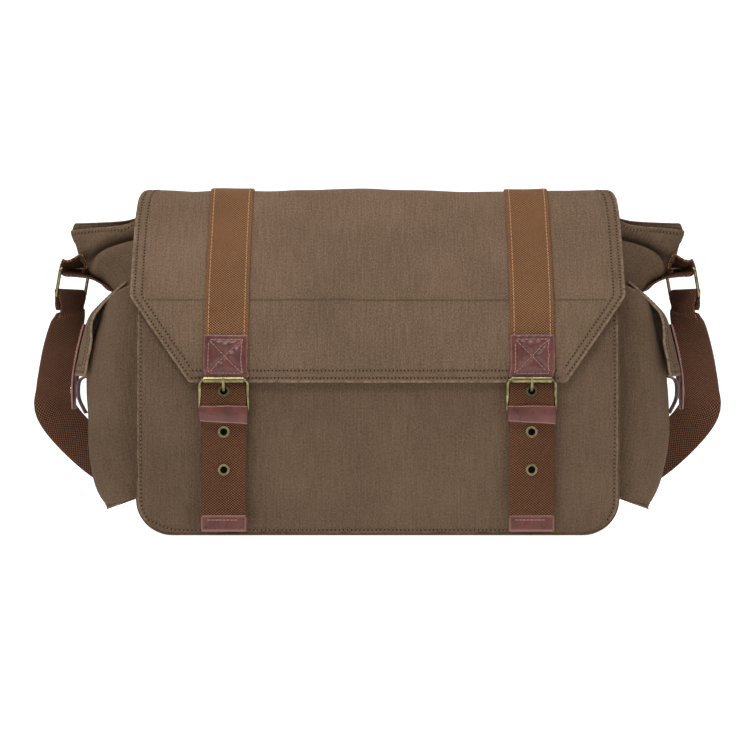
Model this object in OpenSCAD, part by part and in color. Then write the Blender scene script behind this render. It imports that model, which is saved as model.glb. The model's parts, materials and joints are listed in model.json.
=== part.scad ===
// Messenger bag with a buckled front flap, two side pockets and a shoulder strap.
// +Z is up, -Y is the front, and the origin is on the floor at the centre of the base.

/* [Body] */
// Width of the body between its side panels
body_w = 432; // [426:1:436]
// Radius of the lower corners of the front and back
corner_r = 30; // [26:1:34]
// Thickness of a lined canvas panel
panel_t = 2.4; // [2:0.1:2.6]
// Width of cloth from the seam of a side panel to its folded ridge
fold_w = 76; // [75:1:80]

/* [Flap] */
// Thickness of the doubled canvas of the flap
flap_t = 2.6; // [2.2:0.1:2.6]
// Height of the straight lower edge of the flap
flap_z = 139.5; // [138:0.5:141]

/* [Webbing] */
// Width of every webbing strap
web_w = 38; // [36:1:38]
// Thickness of the webbing
web_t = 2; // [1.6:0.1:2]
// Distance of each front strap from the middle, at the buckle
strap_x = 138; // [130:1:145]
// Thickness of the leather
leather_t = 1.8; // [1.4:0.1:1.8]

/* [Hardware] */
// Radius of the wire of buckles and rings
wire_r = 1.5; // [1.3:0.05:1.5]
// Radial clearance of a part that turns on a wire
turn_gap = 0.06; // [0.04:0.01:0.08]
// Outside radius of the buckle's roller
roller_r = 3.2; // [2.9:0.1:3.2]
// Radius of the hole through an eyelet
eyelet_r = 3.25; // [3.25:0.05:3.4]

/* [Pockets] */
// Width of a side pocket from front to back
pocket_w = 116; // [100:2:120]
// Width of a side pocket's flap from front to back
pocket_flap_w = 100; // [90:2:104]

/* [Hidden] */
$fn = 32;
gap = 0.3;
far = 500;
half_w = body_w / 2;
fold_z = 204.5;
piping_z = 209;
hem_z = 300;
ear_drop = 21;

// Outside of the front and of the back panel: height, then distance from the middle plane
front_line = [[0, 78], [60, 82], [120, 85], [180, 82.5], [212, 77], [238, 62], [262, 46], [284, 33], [300, 22]];
back_line = [[0, 78], [60, 80], [120, 80], [180, 79], [212, 75], [238, 61], [262, 45], [284, 32], [300, 21]];

// Inside of the flap as [y, z], from its seam on the back over the top to its front edge
flap_line = [[63, 236], [46.5, 263], [33.5, 285], [23, 301], [14, 310], [1, 315], [-13, 313.4], [-22, 306.5],
    [-30, 296], [-42, 277], [-58, 252], [-77, 219], [-85, 190], [-88, 163], [-88.2, flap_z]];
flap_steps = 3;
rear_fold = 3 * flap_steps;
front_fold = 8 * flap_steps;

// Buckle, as [y, z] in the plane across the strap
heel = [-93, 112];
buckle_h = 28.8;
buckle_lean = 8;
roller_bar = heel + buckle_h * [-sin(buckle_lean), cos(buckle_lean)];
buckle_half_w = 21.5;
prong_t = 2;
prong_line = [[-92.8, 114], [-91.9, 121], [-91.6, 126.5], [-93, 129.3], [-96.8, 131.2], [-100, 135.6],
    [-101.8, 140], [-101.9, 142.4]];
belt_line = [[-91.1, 142.6], [-92.2, 136], [-94, 128], [-97.2, 116.5], [-97.2, 108.5], [-94.2, 103], [-93.5, 101.2]];
tail_line = [[-93.5, 99.4], [-92.9, 80], [-92.7, 50], [-93.2, 18.3]];
tip_line = [[-93.2, 18], [-93.6, 6]];
belt_hole_z = 130;
tail_hole_z = [94, 60];
base_strap_y = [-87.6, -91.4];
base_strap_z = [66.3, 110];
snap_z = 58;

// Side pocket and its closing pieces as [distance from the middle, z]
pocket_line = [[216.5, 35], [232, 29], [247, 23.5], [251, 25], [257, 37], [262, 52], [267, 76], [270, 99],
    [271, 124], [270, 144], [266, 172], [258, 196]];
pocket_flap_line = [[247.4, 221.2], [255.2, 212.4], [264.8, 201.8], [269.6, 190.2], [275.6, 167.5], [279.6, 146]];
pocket_strip_line = [[272.9, 191.5], [278.5, 168], [282.5, 146.5], [283.4, 131], [283, 114]];
pocket_loop_line = [[270.6, 142.6], [276.5, 141], [279, 135.5], [278.4, 123], [272.2, 110]];

// Ring at each end of the shoulder strap: its bars lie across the strap, turned from front to outside
ring_turn = 32;
ring_lean = 12;
ring_h = 26;
ring_half_w = 21;
ring_top = [283, 0, 244];
ring_low = ring_top + ring_h * [sin(ring_lean) * cos(ring_turn), sin(ring_lean) * sin(ring_turn), -cos(ring_lean)];
ring_r = 1.55;
sleeve_r = 3.9;

// Shoulder strap from its sewn end behind the ring to the middle of the back: route, then the way its width points
strap_route = [[288.2, 3, 206], [296, 21.5, 181], [303, 46, 154], [308, 62, 131], [310, 71, 111], [292, 80, 86],
    [263, 89, 60], [235, 95, 47], [200, 98, 36], [150, 97, 28], [100, 97, 25], [50, 97, 25], [20, 97, 25]];
strap_across = [[-0.55, 0.83, 0], [-0.85, 0.5, 0.2], [-0.93, 0.35, 0.04], [-0.98, 0.15, 0.05], [-0.93, 0.05, 0.36],
    [-0.76, 0, 0.65], [-0.64, 0, 0.77], [-0.41, 0, 0.91], [-0.12, 0, 0.99], [0, 0, 1], [0, 0, 1], [0, 0, 1], [0, 0, 1]];
link_x = 16;
slider_x = 75;
strap_y = 97;
strap_z = 25;

// ---- Curves and sheets ----

function front_y(z) = -lookup(z, front_line);
function back_y(z) = lookup(z, back_line);

// A smooth curve through p, with n steps between its points
function curve_at(a, b, c, d, t) =
    0.5 * (2 * b + (c - a) * t + (2 * a - 5 * b + 4 * c - d) * t * t + (3 * b - a - 3 * c + d) * t * t * t);
function smooth(p, n) = let (last = len(p) - 1) concat(
    [for (i = [0:last - 1]) for (k = [0:n - 1])
        curve_at(p[max(i - 1, 0)], p[i], p[i + 1], p[min(i + 2, last)], k / n)],
    [p[last]]);

// The left-hand normal of a path at each of its points, and the path moved along it
function unit(v) = v / norm(v);
function way(p, i) = unit(p[min(i + 1, len(p) - 1)] - p[max(i - 1, 0)]);
function shifted(p, d) = [for (i = [0:len(p) - 1]) p[i] + d * [-way(p, i)[1], way(p, i)[0]]];
function reversed(p) = [for (i = [len(p) - 1:-1:0]) p[i]];
function slice(p, a, b) = [for (i = [a:b]) p[i]];

// A path with its two ends pulled back by d
function trimmed(p, d) = let (e = len(p) - 1) concat(
    [p[0] + d * unit(p[1] - p[0])], slice(p, 1, e - 1), [p[e] + d * unit(p[e - 1] - p[e])]);
function sheet_outline(p, from, t) = concat(shifted(p, from), reversed(shifted(p, from + t)));

// A [y, z] shape carried along X, and an [x, z] shape carried along Y
module along_x(w) { rotate([90, 0, 90]) linear_extrude(w, center = true) children(); }
module along_y(w) { rotate([90, 0, 0]) linear_extrude(w, center = true) children(); }
module sheet_x(p, from, t, w) { along_x(w) polygon(sheet_outline(p, from, t)); }
module sheet_y(p, from, t, w) { along_y(w) polygon(sheet_outline(p, from, t)); }

// One solid between two grids of points
module quilt(outer, inner) {
    rows = len(outer);
    cols = len(outer[0]);
    grid = rows * cols;
    function at(side, r, c) = side * grid + r * cols + c;
    function pair(a, b, c, d) = [[a, b, c], [a, c, d]];
    skin = [for (r = [0:rows - 2]) for (c = [0:cols - 2]) for (f = concat(
        pair(at(0, r, c), at(0, r, c + 1), at(0, r + 1, c + 1), at(0, r + 1, c)),
        pair(at(1, r, c), at(1, r + 1, c), at(1, r + 1, c + 1), at(1, r, c + 1)))) f];
    side_rims = [for (r = [0:rows - 2]) for (f = concat(
        pair(at(0, r, 0), at(0, r + 1, 0), at(1, r + 1, 0), at(1, r, 0)),
        pair(at(0, r, cols - 1), at(1, r, cols - 1), at(1, r + 1, cols - 1), at(0, r + 1, cols - 1)))) f];
    end_rims = [for (c = [0:cols - 2]) for (f = concat(
        pair(at(0, 0, c), at(1, 0, c), at(1, 0, c + 1), at(0, 0, c + 1)),
        pair(at(0, rows - 1, c), at(0, rows - 1, c + 1), at(1, rows - 1, c + 1), at(1, rows - 1, c)))) f];
    polyhedron([for (g = [outer, inner]) for (row = g) for (p = row) p], concat(skin, side_rims, end_rims));
}

// A wire between two points
module rod(a, b, r) {
    d = b - a;
    translate(a)
        rotate([0, acos(d[2] / norm(d)), atan2(d[1], d[0])])
            cylinder(r = r, h = norm(d));
}

// A closed rectangle of wire round the origin, w along X and h along Y, with corners of radius c
module wire_loop(w, h, c, r) {
    for (s = [-1, 1]) {
        rod([c - w / 2, s * h / 2, 0], [w / 2 - c, s * h / 2, 0], r);
        rod([s * w / 2, c - h / 2, 0], [s * w / 2, h / 2 - c, 0], r);
    }
    for (q = [0:3]) {
        x = (q == 0 || q == 3 ? 1 : -1) * (w / 2 - c);
        y = (q < 2 ? 1 : -1) * (h / 2 - c);
        translate([x, y, 0]) rotate([0, 0, 90 * q]) rotate_extrude(angle = 90) translate([c, 0]) circle(r, $fn = 20);
    }
}

module sided(s) {
    if (s < 0) mirror([1, 0, 0]) children();
    else children();
}

// ---- Body ----

module panel_outline(grow, low) {
    r = corner_r + grow;
    w = half_w + grow;
    translate([-w, low + r]) square([2 * w, hem_z + 1 - low - r]);
    translate([-w + r, low]) square([2 * (w - r), r + 1]);
    for (s = [-1, 1]) translate([s * (w - r), low + r]) circle(r, $fn = 64);
}

module panel(line, side) {
    intersection() {
        sheet_x([for (p = line) [side * p[1], p[0]]], 0, side * panel_t, 2 * far);
        along_y(far) panel_outline(0, 2.6);
    }
}

module front_panel() { color("#6e5f4c") panel(front_line, -1); }
module back_panel() { color("#6a5b49") panel(back_line, 1); }

module base_panel() {
    color("#65563f")
        along_y(150)
            difference() {
                intersection() {
                    panel_outline(0, 0);
                    translate([-far, 0]) square([2 * far, corner_r]);
                }
                translate([0, panel_t]) panel_outline(-panel_t, 0);
            }
}

// The side panel is flat at the bottom and folds outwards towards the top
function seam_depth(z) = min(lookup(z, front_line), lookup(z, back_line)) - panel_t - gap - 0.2;
function fold_share(z) = min((z - fold_z) / 20, 1);
function ridge(z) = fold_share(z) * sqrt(max(fold_w * fold_w - pow(seam_depth(z), 2), 0));
function fold_point(c, z, t) = let (d = seam_depth(z), n = unit([d, ridge(z)]))
    c == 0 ? [half_w + ridge(z) - t / n[0], 0, z] : [half_w - t * n[0], c * (d - t * n[1]), z];

module gusset() {
    wall_t = 1.8;
    flat = [corner_r + gap, 60, 120, 180, fold_z + 2];
    steps = 10;
    function fold_grid(t) = [for (k = [0:steps]) [for (c = [-1, 0, 1])
        fold_point(c, fold_z + k / steps * (hem_z - (c == 0 ? ear_drop : 1) - fold_z), t)]];
    translate([half_w - wall_t / 2, 0, 0])
        along_x(wall_t)
            polygon(concat([for (z = flat) [front_y(z) + panel_t + gap, z]],
                [for (z = reversed(flat)) [back_y(z) - panel_t - gap, z]]));
    quilt(fold_grid(wall_t), fold_grid(0));
}

module gusset_left() { color("#62543f") sided(-1) gusset(); }
module gusset_right() { color("#62543f") gusset(); }

module lining() {
    lining_t = 0.8;
    inset = panel_t + 1.2;
    heights = [292, 284, 262, 238, 212, 180, 120, 60, 3.2];
    line = concat([for (z = heights) [front_y(z) + inset, z]], [for (z = reversed(heights)) [back_y(z) - inset, z]]);
    side_x = half_w - 2.6;
    color("#8d8168")
        intersection() {
            union() {
                sheet_x(line, 0, lining_t, 2 * side_x);
                for (s = [-1, 1])
                    translate([s * (side_x - lining_t / 2), 0, 0])
                        intersection() {
                            along_x(lining_t) polygon(line);
                            translate([0, 0, fold_z / 2]) cube([far, far, fold_z], center = true);
                        }
            }
            along_y(far) panel_outline(-panel_t - gap, panel_t + gap);
        }
}

module base_board() {
    color("#4a3b2c") translate([-190, -70, 4.4]) cube([380, 140, 2.2]);
}

// A thin cord in the seam round the edge of the front and of the back
module edge_piping() {
    cord_t = 2;
    color("#5b4d3b")
        for (side = [-1, 1])
            intersection() {
                sheet_x([for (p = side < 0 ? front_line : back_line) [side * (p[1] - 0.2), p[0]]],
                    0, side * cord_t, 2 * far);
                along_y(far)
                    difference() {
                        panel_outline(cord_t + gap, 0.3);
                        panel_outline(gap, 2.6 - gap);
                    }
                translate([0, 0, piping_z / 2]) cube([2 * far, far, piping_z], center = true);
            }
}

// ---- Side pockets ----

module side_pocket() {
    wall_t = 2.2;
    top = 204;
    inside = concat([[half_w - 10, 38]], shifted(slice(pocket_line, 0, 11), wall_t), [[256, 220], [half_w - 10, 220]]);
    difference() {
        along_y(pocket_w) polygon(concat(pocket_line, [[216.5, top]]));
        along_y(pocket_w - 2 * wall_t) polygon(inside);
    }
}

module side_pocket_left() { color("#6b5c49") sided(-1) side_pocket(); }
module side_pocket_right() { color("#6b5c49") side_pocket(); }

module pocket_flap() { sheet_y(pocket_flap_line, 0, 2.4, pocket_flap_w); }
module pocket_flap_left() { color("#75654f") sided(-1) pocket_flap(); }
module pocket_flap_right() { color("#75654f") pocket_flap(); }

module pocket_strip() { sheet_y(pocket_strip_line, 0, leather_t, 24); }
module pocket_strip_left() { color("#6b3f37") sided(-1) pocket_strip(); }
module pocket_strip_right() { color("#6b3f37") pocket_strip(); }

module pocket_loop() { sheet_y(pocket_loop_line, 0, 1.5, 20); }
module pocket_loop_left() { color("#6b3f37") sided(-1) pocket_loop(); }
module pocket_loop_right() { color("#6b3f37") pocket_loop(); }

module pocket_snap() { translate([283.4 + leather_t + 0.1, 0, 131]) rotate([0, 90, 0]) cylinder(r = 4.5, h = 1.4); }
module pocket_snap_left() { color("#8f8450") sided(-1) pocket_snap(); }
module pocket_snap_right() { color("#8f8450") pocket_snap(); }

// ---- Rings, tabs and shoulder strap ----

ring_way = [-sin(ring_turn), cos(ring_turn), 0];

module ring() {
    translate(ring_top)
        rotate([0, 0, ring_turn])
            rotate([0, 90 - ring_lean, 0])
                translate([ring_h / 2, 0, 0])
                    rotate([0, 0, 90])
                        wire_loop(2 * ring_half_w, ring_h, 3, ring_r);
}
module ring_left() { color("#8f8450") sided(-1) ring(); }
module ring_right() { color("#8f8450") ring(); }

// The webbing that wraps a bar of the ring
module sleeve(centre, w) {
    difference() {
        rod(centre - w / 2 * ring_way, centre + w / 2 * ring_way, sleeve_r);
        rod(centre - w * ring_way, centre + w * ring_way, ring_r + turn_gap);
    }
}

module side_tab() {
    slope = 33.2;
    sleeve(ring_top, web_w - 2);
    difference() {
        translate([248, -17, 226.6])
            rotate([0, -slope, 0])
                translate([22, 0, -1.2])
                    cube([15, 30.5, 2.2]);
        rod(ring_top - far * ring_way, ring_top + far * ring_way, sleeve_r - 0.5);
    }
}
module side_tab_left() { color("#6b4528") sided(-1) side_tab(); }
module side_tab_right() { color("#6b4528") side_tab(); }

module strap_end() {
    sleeve(ring_low, web_w - 2);
    translate([ring_low[0], ring_low[1], 0])
        rotate([0, 0, ring_turn])
            translate([-2.2, 1 - web_w / 2, 213.4])
                cube([4.4, web_w - 2, 2.2]);
}
module strap_end_left() { color("#5e3a28") sided(-1) strap_end(); }
module strap_end_right() { color("#5e3a28") strap_end(); }

function across_at(i) = let (t = unit(strap_route[min(i + 1, len(strap_route) - 1)] - strap_route[max(i - 1, 0)]),
    w = strap_across[i] - (strap_across[i] * t) * t) unit(w);

module shoulder_strap() {
    points = smooth(strap_route, 3);
    across = smooth([for (i = [0:len(strap_route) - 1]) across_at(i)], 3);
    function way3(i) = unit(points[min(i + 1, len(points) - 1)] - points[max(i - 1, 0)]);
    function face(i) = unit(cross(way3(i), across[i]));
    function edge_row(side) = [for (i = [0:len(points) - 1]) [for (s = [-1, 0, 1])
        points[i] + s * web_w / 2 * unit(across[i]) + side * web_t / 2 * face(i)]];
    quilt(edge_row(1), edge_row(-1));
}
module shoulder_strap_left() { color("#4e2f22") sided(-1) shoulder_strap(); }
module shoulder_strap_right() { color("#4e2f22") shoulder_strap(); }

// A wire loop that stands across the strap behind the bag
module strap_frame(x, y, w) {
    translate([x, y, strap_z]) rotate([90, 0, 0]) wire_loop(w, 42, 3, wire_r);
}

module strap_link() { color("#8f8450") strap_frame(0, strap_y, 2 * link_x); }
module strap_slider() {
    color("#8f8450") {
        strap_frame(slider_x, strap_y + 4.2, 24);
        rod([slider_x, strap_y + 4.2, strap_z - 21], [slider_x, strap_y + 4.2, strap_z + 21], wire_r);
    }
}
module strap_return() {
    color("#4e2f22") translate([36, strap_y + 3.2, strap_z - web_w / 2]) cube([slider_x - 14.2 - 36, web_t, web_w]);
}

// ---- Flap ----

flap_curve = smooth(flap_line, flap_steps);
rear_line = trimmed(slice(flap_curve, 0, rear_fold), 0.4);
top_line = trimmed(slice(flap_curve, rear_fold, front_fold), 0.4);
drop_line = trimmed(slice(flap_curve, front_fold, len(flap_curve) - 1), 0.4);

module flap_outline() {
    half = [[169, flap_z - 1], [223, 216.5], [222, 285], [221, 300], [220, 309], [217.5, 314], [212, 318], [206, 323]];
    polygon(concat(half, [for (p = reversed(half)) [-p[0], p[1]]]));
}

module flap_piece(line) {
    intersection() {
        sheet_x(line, 0, -flap_t, 2 * far);
        along_y(far) flap_outline();
    }
}
module flap_rear() { color("#75654f") flap_piece(rear_line); }
module flap_top() { color("#75654f") flap_piece(top_line); }
module flap_front() { color("#75654f") flap_piece(drop_line); }

// The straps run nearer to each other at the top of the flap than at the buckles
module strap_outline(low, high, w) {
    lean = 1.6 / 170;
    x_at = function (z) strap_x - lean * (z - 143);
    polygon([[x_at(low) - w / 2, low], [x_at(low) + w / 2, low], [x_at(high) + w / 2, high],
        [x_at(high) - w / 2, high]]);
}
module flap_strap(line, low, w, lift, t) {
    intersection() {
        sheet_x(line, -flap_t - lift, -t, 2 * far);
        along_y(far) strap_outline(low, 330, w);
    }
}
module webbing_rear() { color("#8a5632") for (s = [-1, 1]) sided(s) flap_strap(rear_line, 200, web_w, 0.2, web_t); }
module webbing_top() { color("#8a5632") for (s = [-1, 1]) sided(s) flap_strap(top_line, 200, web_w, 0.2, web_t); }
module webbing_front() { flap_strap(drop_line, 143.2, web_w, 0.2, web_t); }
module webbing_front_left() { color("#8a5632") sided(-1) webbing_front(); }
module webbing_front_right() { color("#8a5632") webbing_front(); }

module leather_patch() {
    intersection() {
        flap_strap(drop_line, 143.5, web_w, 0.3 + web_t, leather_t - 0.1);
        translate([0, -80, 160]) cube([far, 60, 40], center = true);
    }
}
module leather_patch_left() { color("#6b3f37") sided(-1) leather_patch(); }
module leather_patch_right() { color("#6b3f37") leather_patch(); }

// ---- Buckles ----

function in_plane(x, p) = [x, p[0], p[1]];
module at_strap() { translate([strap_x, 0, 0]) children(); }
module cross_hole(z, r) { translate([0, 0, z]) rotate([90, 0, 0]) cylinder(r = r, h = 2 * far, center = true); }

module belt() {
    at_strap()
        difference() {
            sheet_x(belt_line, 0, -web_t, web_w);
            cross_hole(belt_hole_z, eyelet_r + 1.1);
        }
}
module belt_left() { color("#7a4a2c") sided(-1) belt(); }
module belt_right() { color("#7a4a2c") belt(); }

module base_strap() {
    at_strap()
        difference() {
            union() {
                translate([-web_w / 2 + 0.4, base_strap_y[1], base_strap_z[0]])
                    cube([web_w - 0.8, base_strap_y[0] - base_strap_y[1], base_strap_z[1] - base_strap_z[0]]);
                rod(in_plane(-web_w / 2 + 0.4, heel), in_plane(web_w / 2 - 0.4, heel), 3.7);
            }
            rod(in_plane(-far, heel), in_plane(far, heel), wire_r + 0.2);
            translate([-4.2, -far / 2, 104]) cube([8.4, far, 30]);
        }
}
module base_strap_left() { color("#7a4a2c") sided(-1) base_strap(); }
module base_strap_right() { color("#7a4a2c") base_strap(); }

module base_tabs() {
    color("#6b3f37")
        for (s = [-1, 1])
            translate([s * strap_x - web_w / 2, base_strap_y[1], 50])
                cube([web_w, base_strap_y[0] - base_strap_y[1], 16]);
}

module buckle_frame() {
    at_strap()
        translate(in_plane(0, heel))
            rotate([90 + buckle_lean, 0, 0])
                translate([0, buckle_h / 2, 0])
                    wire_loop(2 * buckle_half_w, buckle_h, 3.5, wire_r);
}
module buckle_frame_left() { color("#8f8450") sided(-1) buckle_frame(); }
module buckle_frame_right() { color("#8f8450") buckle_frame(); }

module roller() {
    at_strap()
        difference() {
            rod(in_plane(-17.75, roller_bar), in_plane(17.75, roller_bar), roller_r);
            rod(in_plane(-far, roller_bar), in_plane(far, roller_bar), wire_r + turn_gap);
        }
}
module roller_left() { color("#a0945c") sided(-1) roller(); }
module roller_right() { color("#a0945c") roller(); }

module prong() {
    at_strap() {
        difference() {
            rod(in_plane(-1.6, heel), in_plane(1.6, heel), 2.7);
            rod(in_plane(-far, heel), in_plane(far, heel), wire_r + turn_gap);
        }
        sheet_x(prong_line, -prong_t / 2, prong_t, 2.2);
    }
}
module prong_left() { color("#8f8450") sided(-1) prong(); }
module prong_right() { color("#8f8450") prong(); }

module keeper() {
    outer = [-buckle_half_w, -101.3];
    t = 1.6;
    side_t = 1.2;
    at_strap() {
        translate([outer[0], outer[1], 101.5]) cube([2 * buckle_half_w, t, 15.5]);
        translate([outer[0], -87.1, 101.5]) cube([2 * buckle_half_w, t, 7]);
        for (x = [-buckle_half_w, buckle_half_w - side_t])
            translate([x, outer[1], 101.5]) cube([side_t, -85.5 - outer[1], 7]);
    }
}
module keeper_left() { color("#7a4a42") sided(-1) keeper(); }
module keeper_right() { color("#7a4a42") keeper(); }

module tail() {
    at_strap()
        difference() {
            sheet_x(tail_line, 0, -web_t, web_w);
            for (z = tail_hole_z) cross_hole(z, eyelet_r + 0.7);
        }
}
module tail_left() { color("#7a4a2c") sided(-1) tail(); }
module tail_right() { color("#7a4a2c") tail(); }

module tail_tip() { at_strap() sheet_x(tip_line, 0.3, -web_t - 0.6, web_w); }
module tail_tip_left() { color("#6b3f37") sided(-1) tail_tip(); }
module tail_tip_right() { color("#6b3f37") tail_tip(); }

// A brass eyelet through webbing whose back is at y
module eyelet(y, z) {
    flange_r = 5.3;
    wall = 0.5;
    translate([0, y, z])
        rotate([90, 0, 0])
            difference() {
                union() {
                    translate([0, 0, -0.6]) cylinder(r = flange_r - 0.4, h = 0.5);
                    translate([0, 0, -0.6]) cylinder(r = eyelet_r + wall, h = web_t + 1.5);
                    translate([0, 0, web_t + 0.3]) cylinder(r = flange_r, h = 0.6);
                }
                translate([0, 0, -5]) cylinder(r = eyelet_r, h = 20);
            }
}
module belt_eyelets() {
    color("#8f8450") for (s = [-1, 1]) sided(s) at_strap() translate([0, -93.55, belt_hole_z]) belt_eyelet_tilt();
}
module belt_eyelet_tilt() { rotate([-12, 0, 0]) eyelet(0, 0); }
module tail_eyelets() { at_strap() for (z = tail_hole_z) eyelet(z > 80 ? -93.25 : -92.75, z); }
module tail_eyelets_left() { color("#8f8450") sided(-1) tail_eyelets(); }
module tail_eyelets_right() { color("#8f8450") tail_eyelets(); }

// Flat magnetic snaps behind the base strap
module snap_disc(y, h) {
    for (s = [-1, 1]) translate([s * strap_x, y, snap_z]) rotate([90, 0, 0]) cylinder(r = 8, h = h);
}
module snap_sockets() { color("#8f8450") snap_disc(-82.3, 2.2); }
module snap_studs() { color("#8f8450") snap_disc(-84.9, 2.4); }

// ---- Parts ----

front_panel();
back_panel();
gusset_left();
gusset_right();
base_panel();
lining();
base_board();
edge_piping();
side_pocket_left();
side_pocket_right();
pocket_loop_left();
pocket_loop_right();
side_tab_left();
side_tab_right();
snap_sockets();
flap_rear();
webbing_rear();
shoulder_strap_left();
shoulder_strap_right();
strap_link();
strap_slider();
strap_return();
flap_top();
webbing_top();
flap_front();
webbing_front_left();
webbing_front_right();
leather_patch_left();
leather_patch_right();
belt_left();
belt_right();
base_strap_left();
base_strap_right();
base_tabs();
buckle_frame_left();
buckle_frame_right();
keeper_left();
keeper_right();
snap_studs();
belt_eyelets();
tail_left();
tail_right();
tail_tip_left();
tail_tip_right();
tail_eyelets_left();
tail_eyelets_right();
roller_left();
roller_right();
prong_left();
prong_right();
pocket_flap_left();
pocket_flap_right();
pocket_strip_left();
pocket_strip_right();
pocket_snap_left();
pocket_snap_right();
ring_left();
ring_right();
strap_end_left();
strap_end_right();
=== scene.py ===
"""Looks of the messenger bag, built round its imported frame.

Lengths are metres, except in the tables of points, which are millimetres.
"""
import json
import math
import random

import bpy
import numpy as np
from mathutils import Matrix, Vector


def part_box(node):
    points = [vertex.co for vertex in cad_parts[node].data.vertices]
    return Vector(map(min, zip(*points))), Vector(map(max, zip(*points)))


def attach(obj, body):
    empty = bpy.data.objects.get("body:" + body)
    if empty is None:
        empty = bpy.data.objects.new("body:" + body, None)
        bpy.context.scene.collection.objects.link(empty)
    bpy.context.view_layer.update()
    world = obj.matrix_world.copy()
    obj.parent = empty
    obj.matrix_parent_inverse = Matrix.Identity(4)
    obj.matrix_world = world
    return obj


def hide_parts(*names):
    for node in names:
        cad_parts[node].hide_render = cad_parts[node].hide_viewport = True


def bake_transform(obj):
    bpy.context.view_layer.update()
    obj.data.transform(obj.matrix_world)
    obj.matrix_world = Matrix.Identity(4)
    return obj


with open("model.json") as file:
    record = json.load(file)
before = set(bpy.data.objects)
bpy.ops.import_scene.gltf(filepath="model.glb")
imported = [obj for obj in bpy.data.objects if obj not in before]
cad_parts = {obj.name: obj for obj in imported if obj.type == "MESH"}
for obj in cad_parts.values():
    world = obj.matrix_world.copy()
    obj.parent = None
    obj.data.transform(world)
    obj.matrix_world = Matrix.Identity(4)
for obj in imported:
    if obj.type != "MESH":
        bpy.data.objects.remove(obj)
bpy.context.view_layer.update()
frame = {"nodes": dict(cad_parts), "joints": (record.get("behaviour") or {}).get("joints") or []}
MM = 0.001
SIDES = {"left": -1, "right": 1}
WEB_W = 0.038
WEB_T = 0.002
CANVAS_T = 0.0024
HOLE_R = 0.0008

# Outside of the front and the back panel: height, then distance from the middle plane
FRONT_LINE = [(0, 78), (60, 82), (120, 85), (180, 82.5), (212, 77), (238, 62), (262, 46), (284, 33),
              (300, 22)]
BACK_LINE = [(0, 78), (60, 80), (120, 80), (180, 79), (212, 75), (238, 61), (262, 45), (284, 32), (300, 21)]
# Inside of the flap as (y, z), from its seam on the back over the top to its front edge
FLAP_LINE = [(63, 236), (46.5, 263), (33.5, 285), (23, 301), (14, 310), (1, 315), (-13, 313.4), (-22, 306.5),
             (-30, 296), (-42, 277), (-58, 252), (-77, 219), (-85, 190), (-88, 163), (-88.2, 139.3)]
# Half the width of the flap at each height
FLAP_HALF = [(139.3, 169.2), (216.4, 222.6), (285, 222), (300, 221), (309, 220), (314, 218), (317.6, 214)]
FLAP_SEAM_Z = 0.2148
FLAP_T = 0.0026
BODY_HALF = 0.216
HEM_Z = 0.300
# Centre height and radius of the panels' lower corners
CORNER_Z = 0.0326
CORNER_R = 0.030
# Where the ears fold outwards: lowest point, height, and width of cloth from seam to ridge
FOLD_Z = 0.2045
FOLD_H = 0.0945
FOLD_W = 0.076
# Distance of each front strap from the middle, at the buckle
STRAP_X = 0.138
# Thickness of the thinner webbing of the tabs, the strap ends and the strap return
TAB_T = 0.0018
TIP_T = 0.0029

# Where the two folds of the flap turn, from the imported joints
JOINTS = {j["name"]: j for j in frame["joints"]}
REAR_FOLD = np.array(JOINTS["flap_top_fold"]["pos_m"])
FRONT_FOLD = np.array(JOINTS["flap_front_fold"]["pos_m"])

# ---- camera, light and floor ----


def camera_and_light():
    """A long lens straight in front, soft light from above left, and a white room."""
    scene = bpy.context.scene
    cam = bpy.data.objects.new("camera", bpy.data.cameras.new("camera"))
    scene.collection.objects.link(cam)
    cam.data.lens = 117
    cam.data.sensor_width = 36
    cam.data.clip_end = 20
    cam.location = (-0.0024, -2.28, 0.145)
    cam.rotation_euler = (math.radians(90), 0, 0)
    scene.camera = cam

    def area(name, place, aim, size, power):
        data = bpy.data.lights.new(name, "AREA")
        data.shape = "RECTANGLE"
        data.size, data.size_y = size
        data.energy = power
        lamp = bpy.data.objects.new(name, data)
        scene.collection.objects.link(lamp)
        lamp.location = place
        lamp.rotation_euler = (Vector(aim) - Vector(place)).to_track_quat("-Z", "Y").to_euler()

    area("key", (-0.6, -1.5, 2.1), (0, 0, 0.15), (1.1, 0.8), 29)
    area("fill", (1.4, -2.2, 1.0), (0, 0, 0.15), (1.0, 1.0), 4)
    area("top", (0, -0.1, 2.0), (0, 0, 0.2), (1.6, 1.2), 23)
    area("back", (0, 2.0, 1.2), (0, 0, 0.2), (1.6, 1.0), 8)
    world = bpy.data.worlds.new("studio")
    scene.world = world
    world.use_nodes = True
    background = world.node_tree.nodes["Background"]
    background.inputs["Color"].default_value = (1, 1, 1, 1)
    background.inputs["Strength"].default_value = 0.18
    scene.view_settings.view_transform = "Standard"
    scene.view_settings.look = "None"

    build_backdrop()


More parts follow.
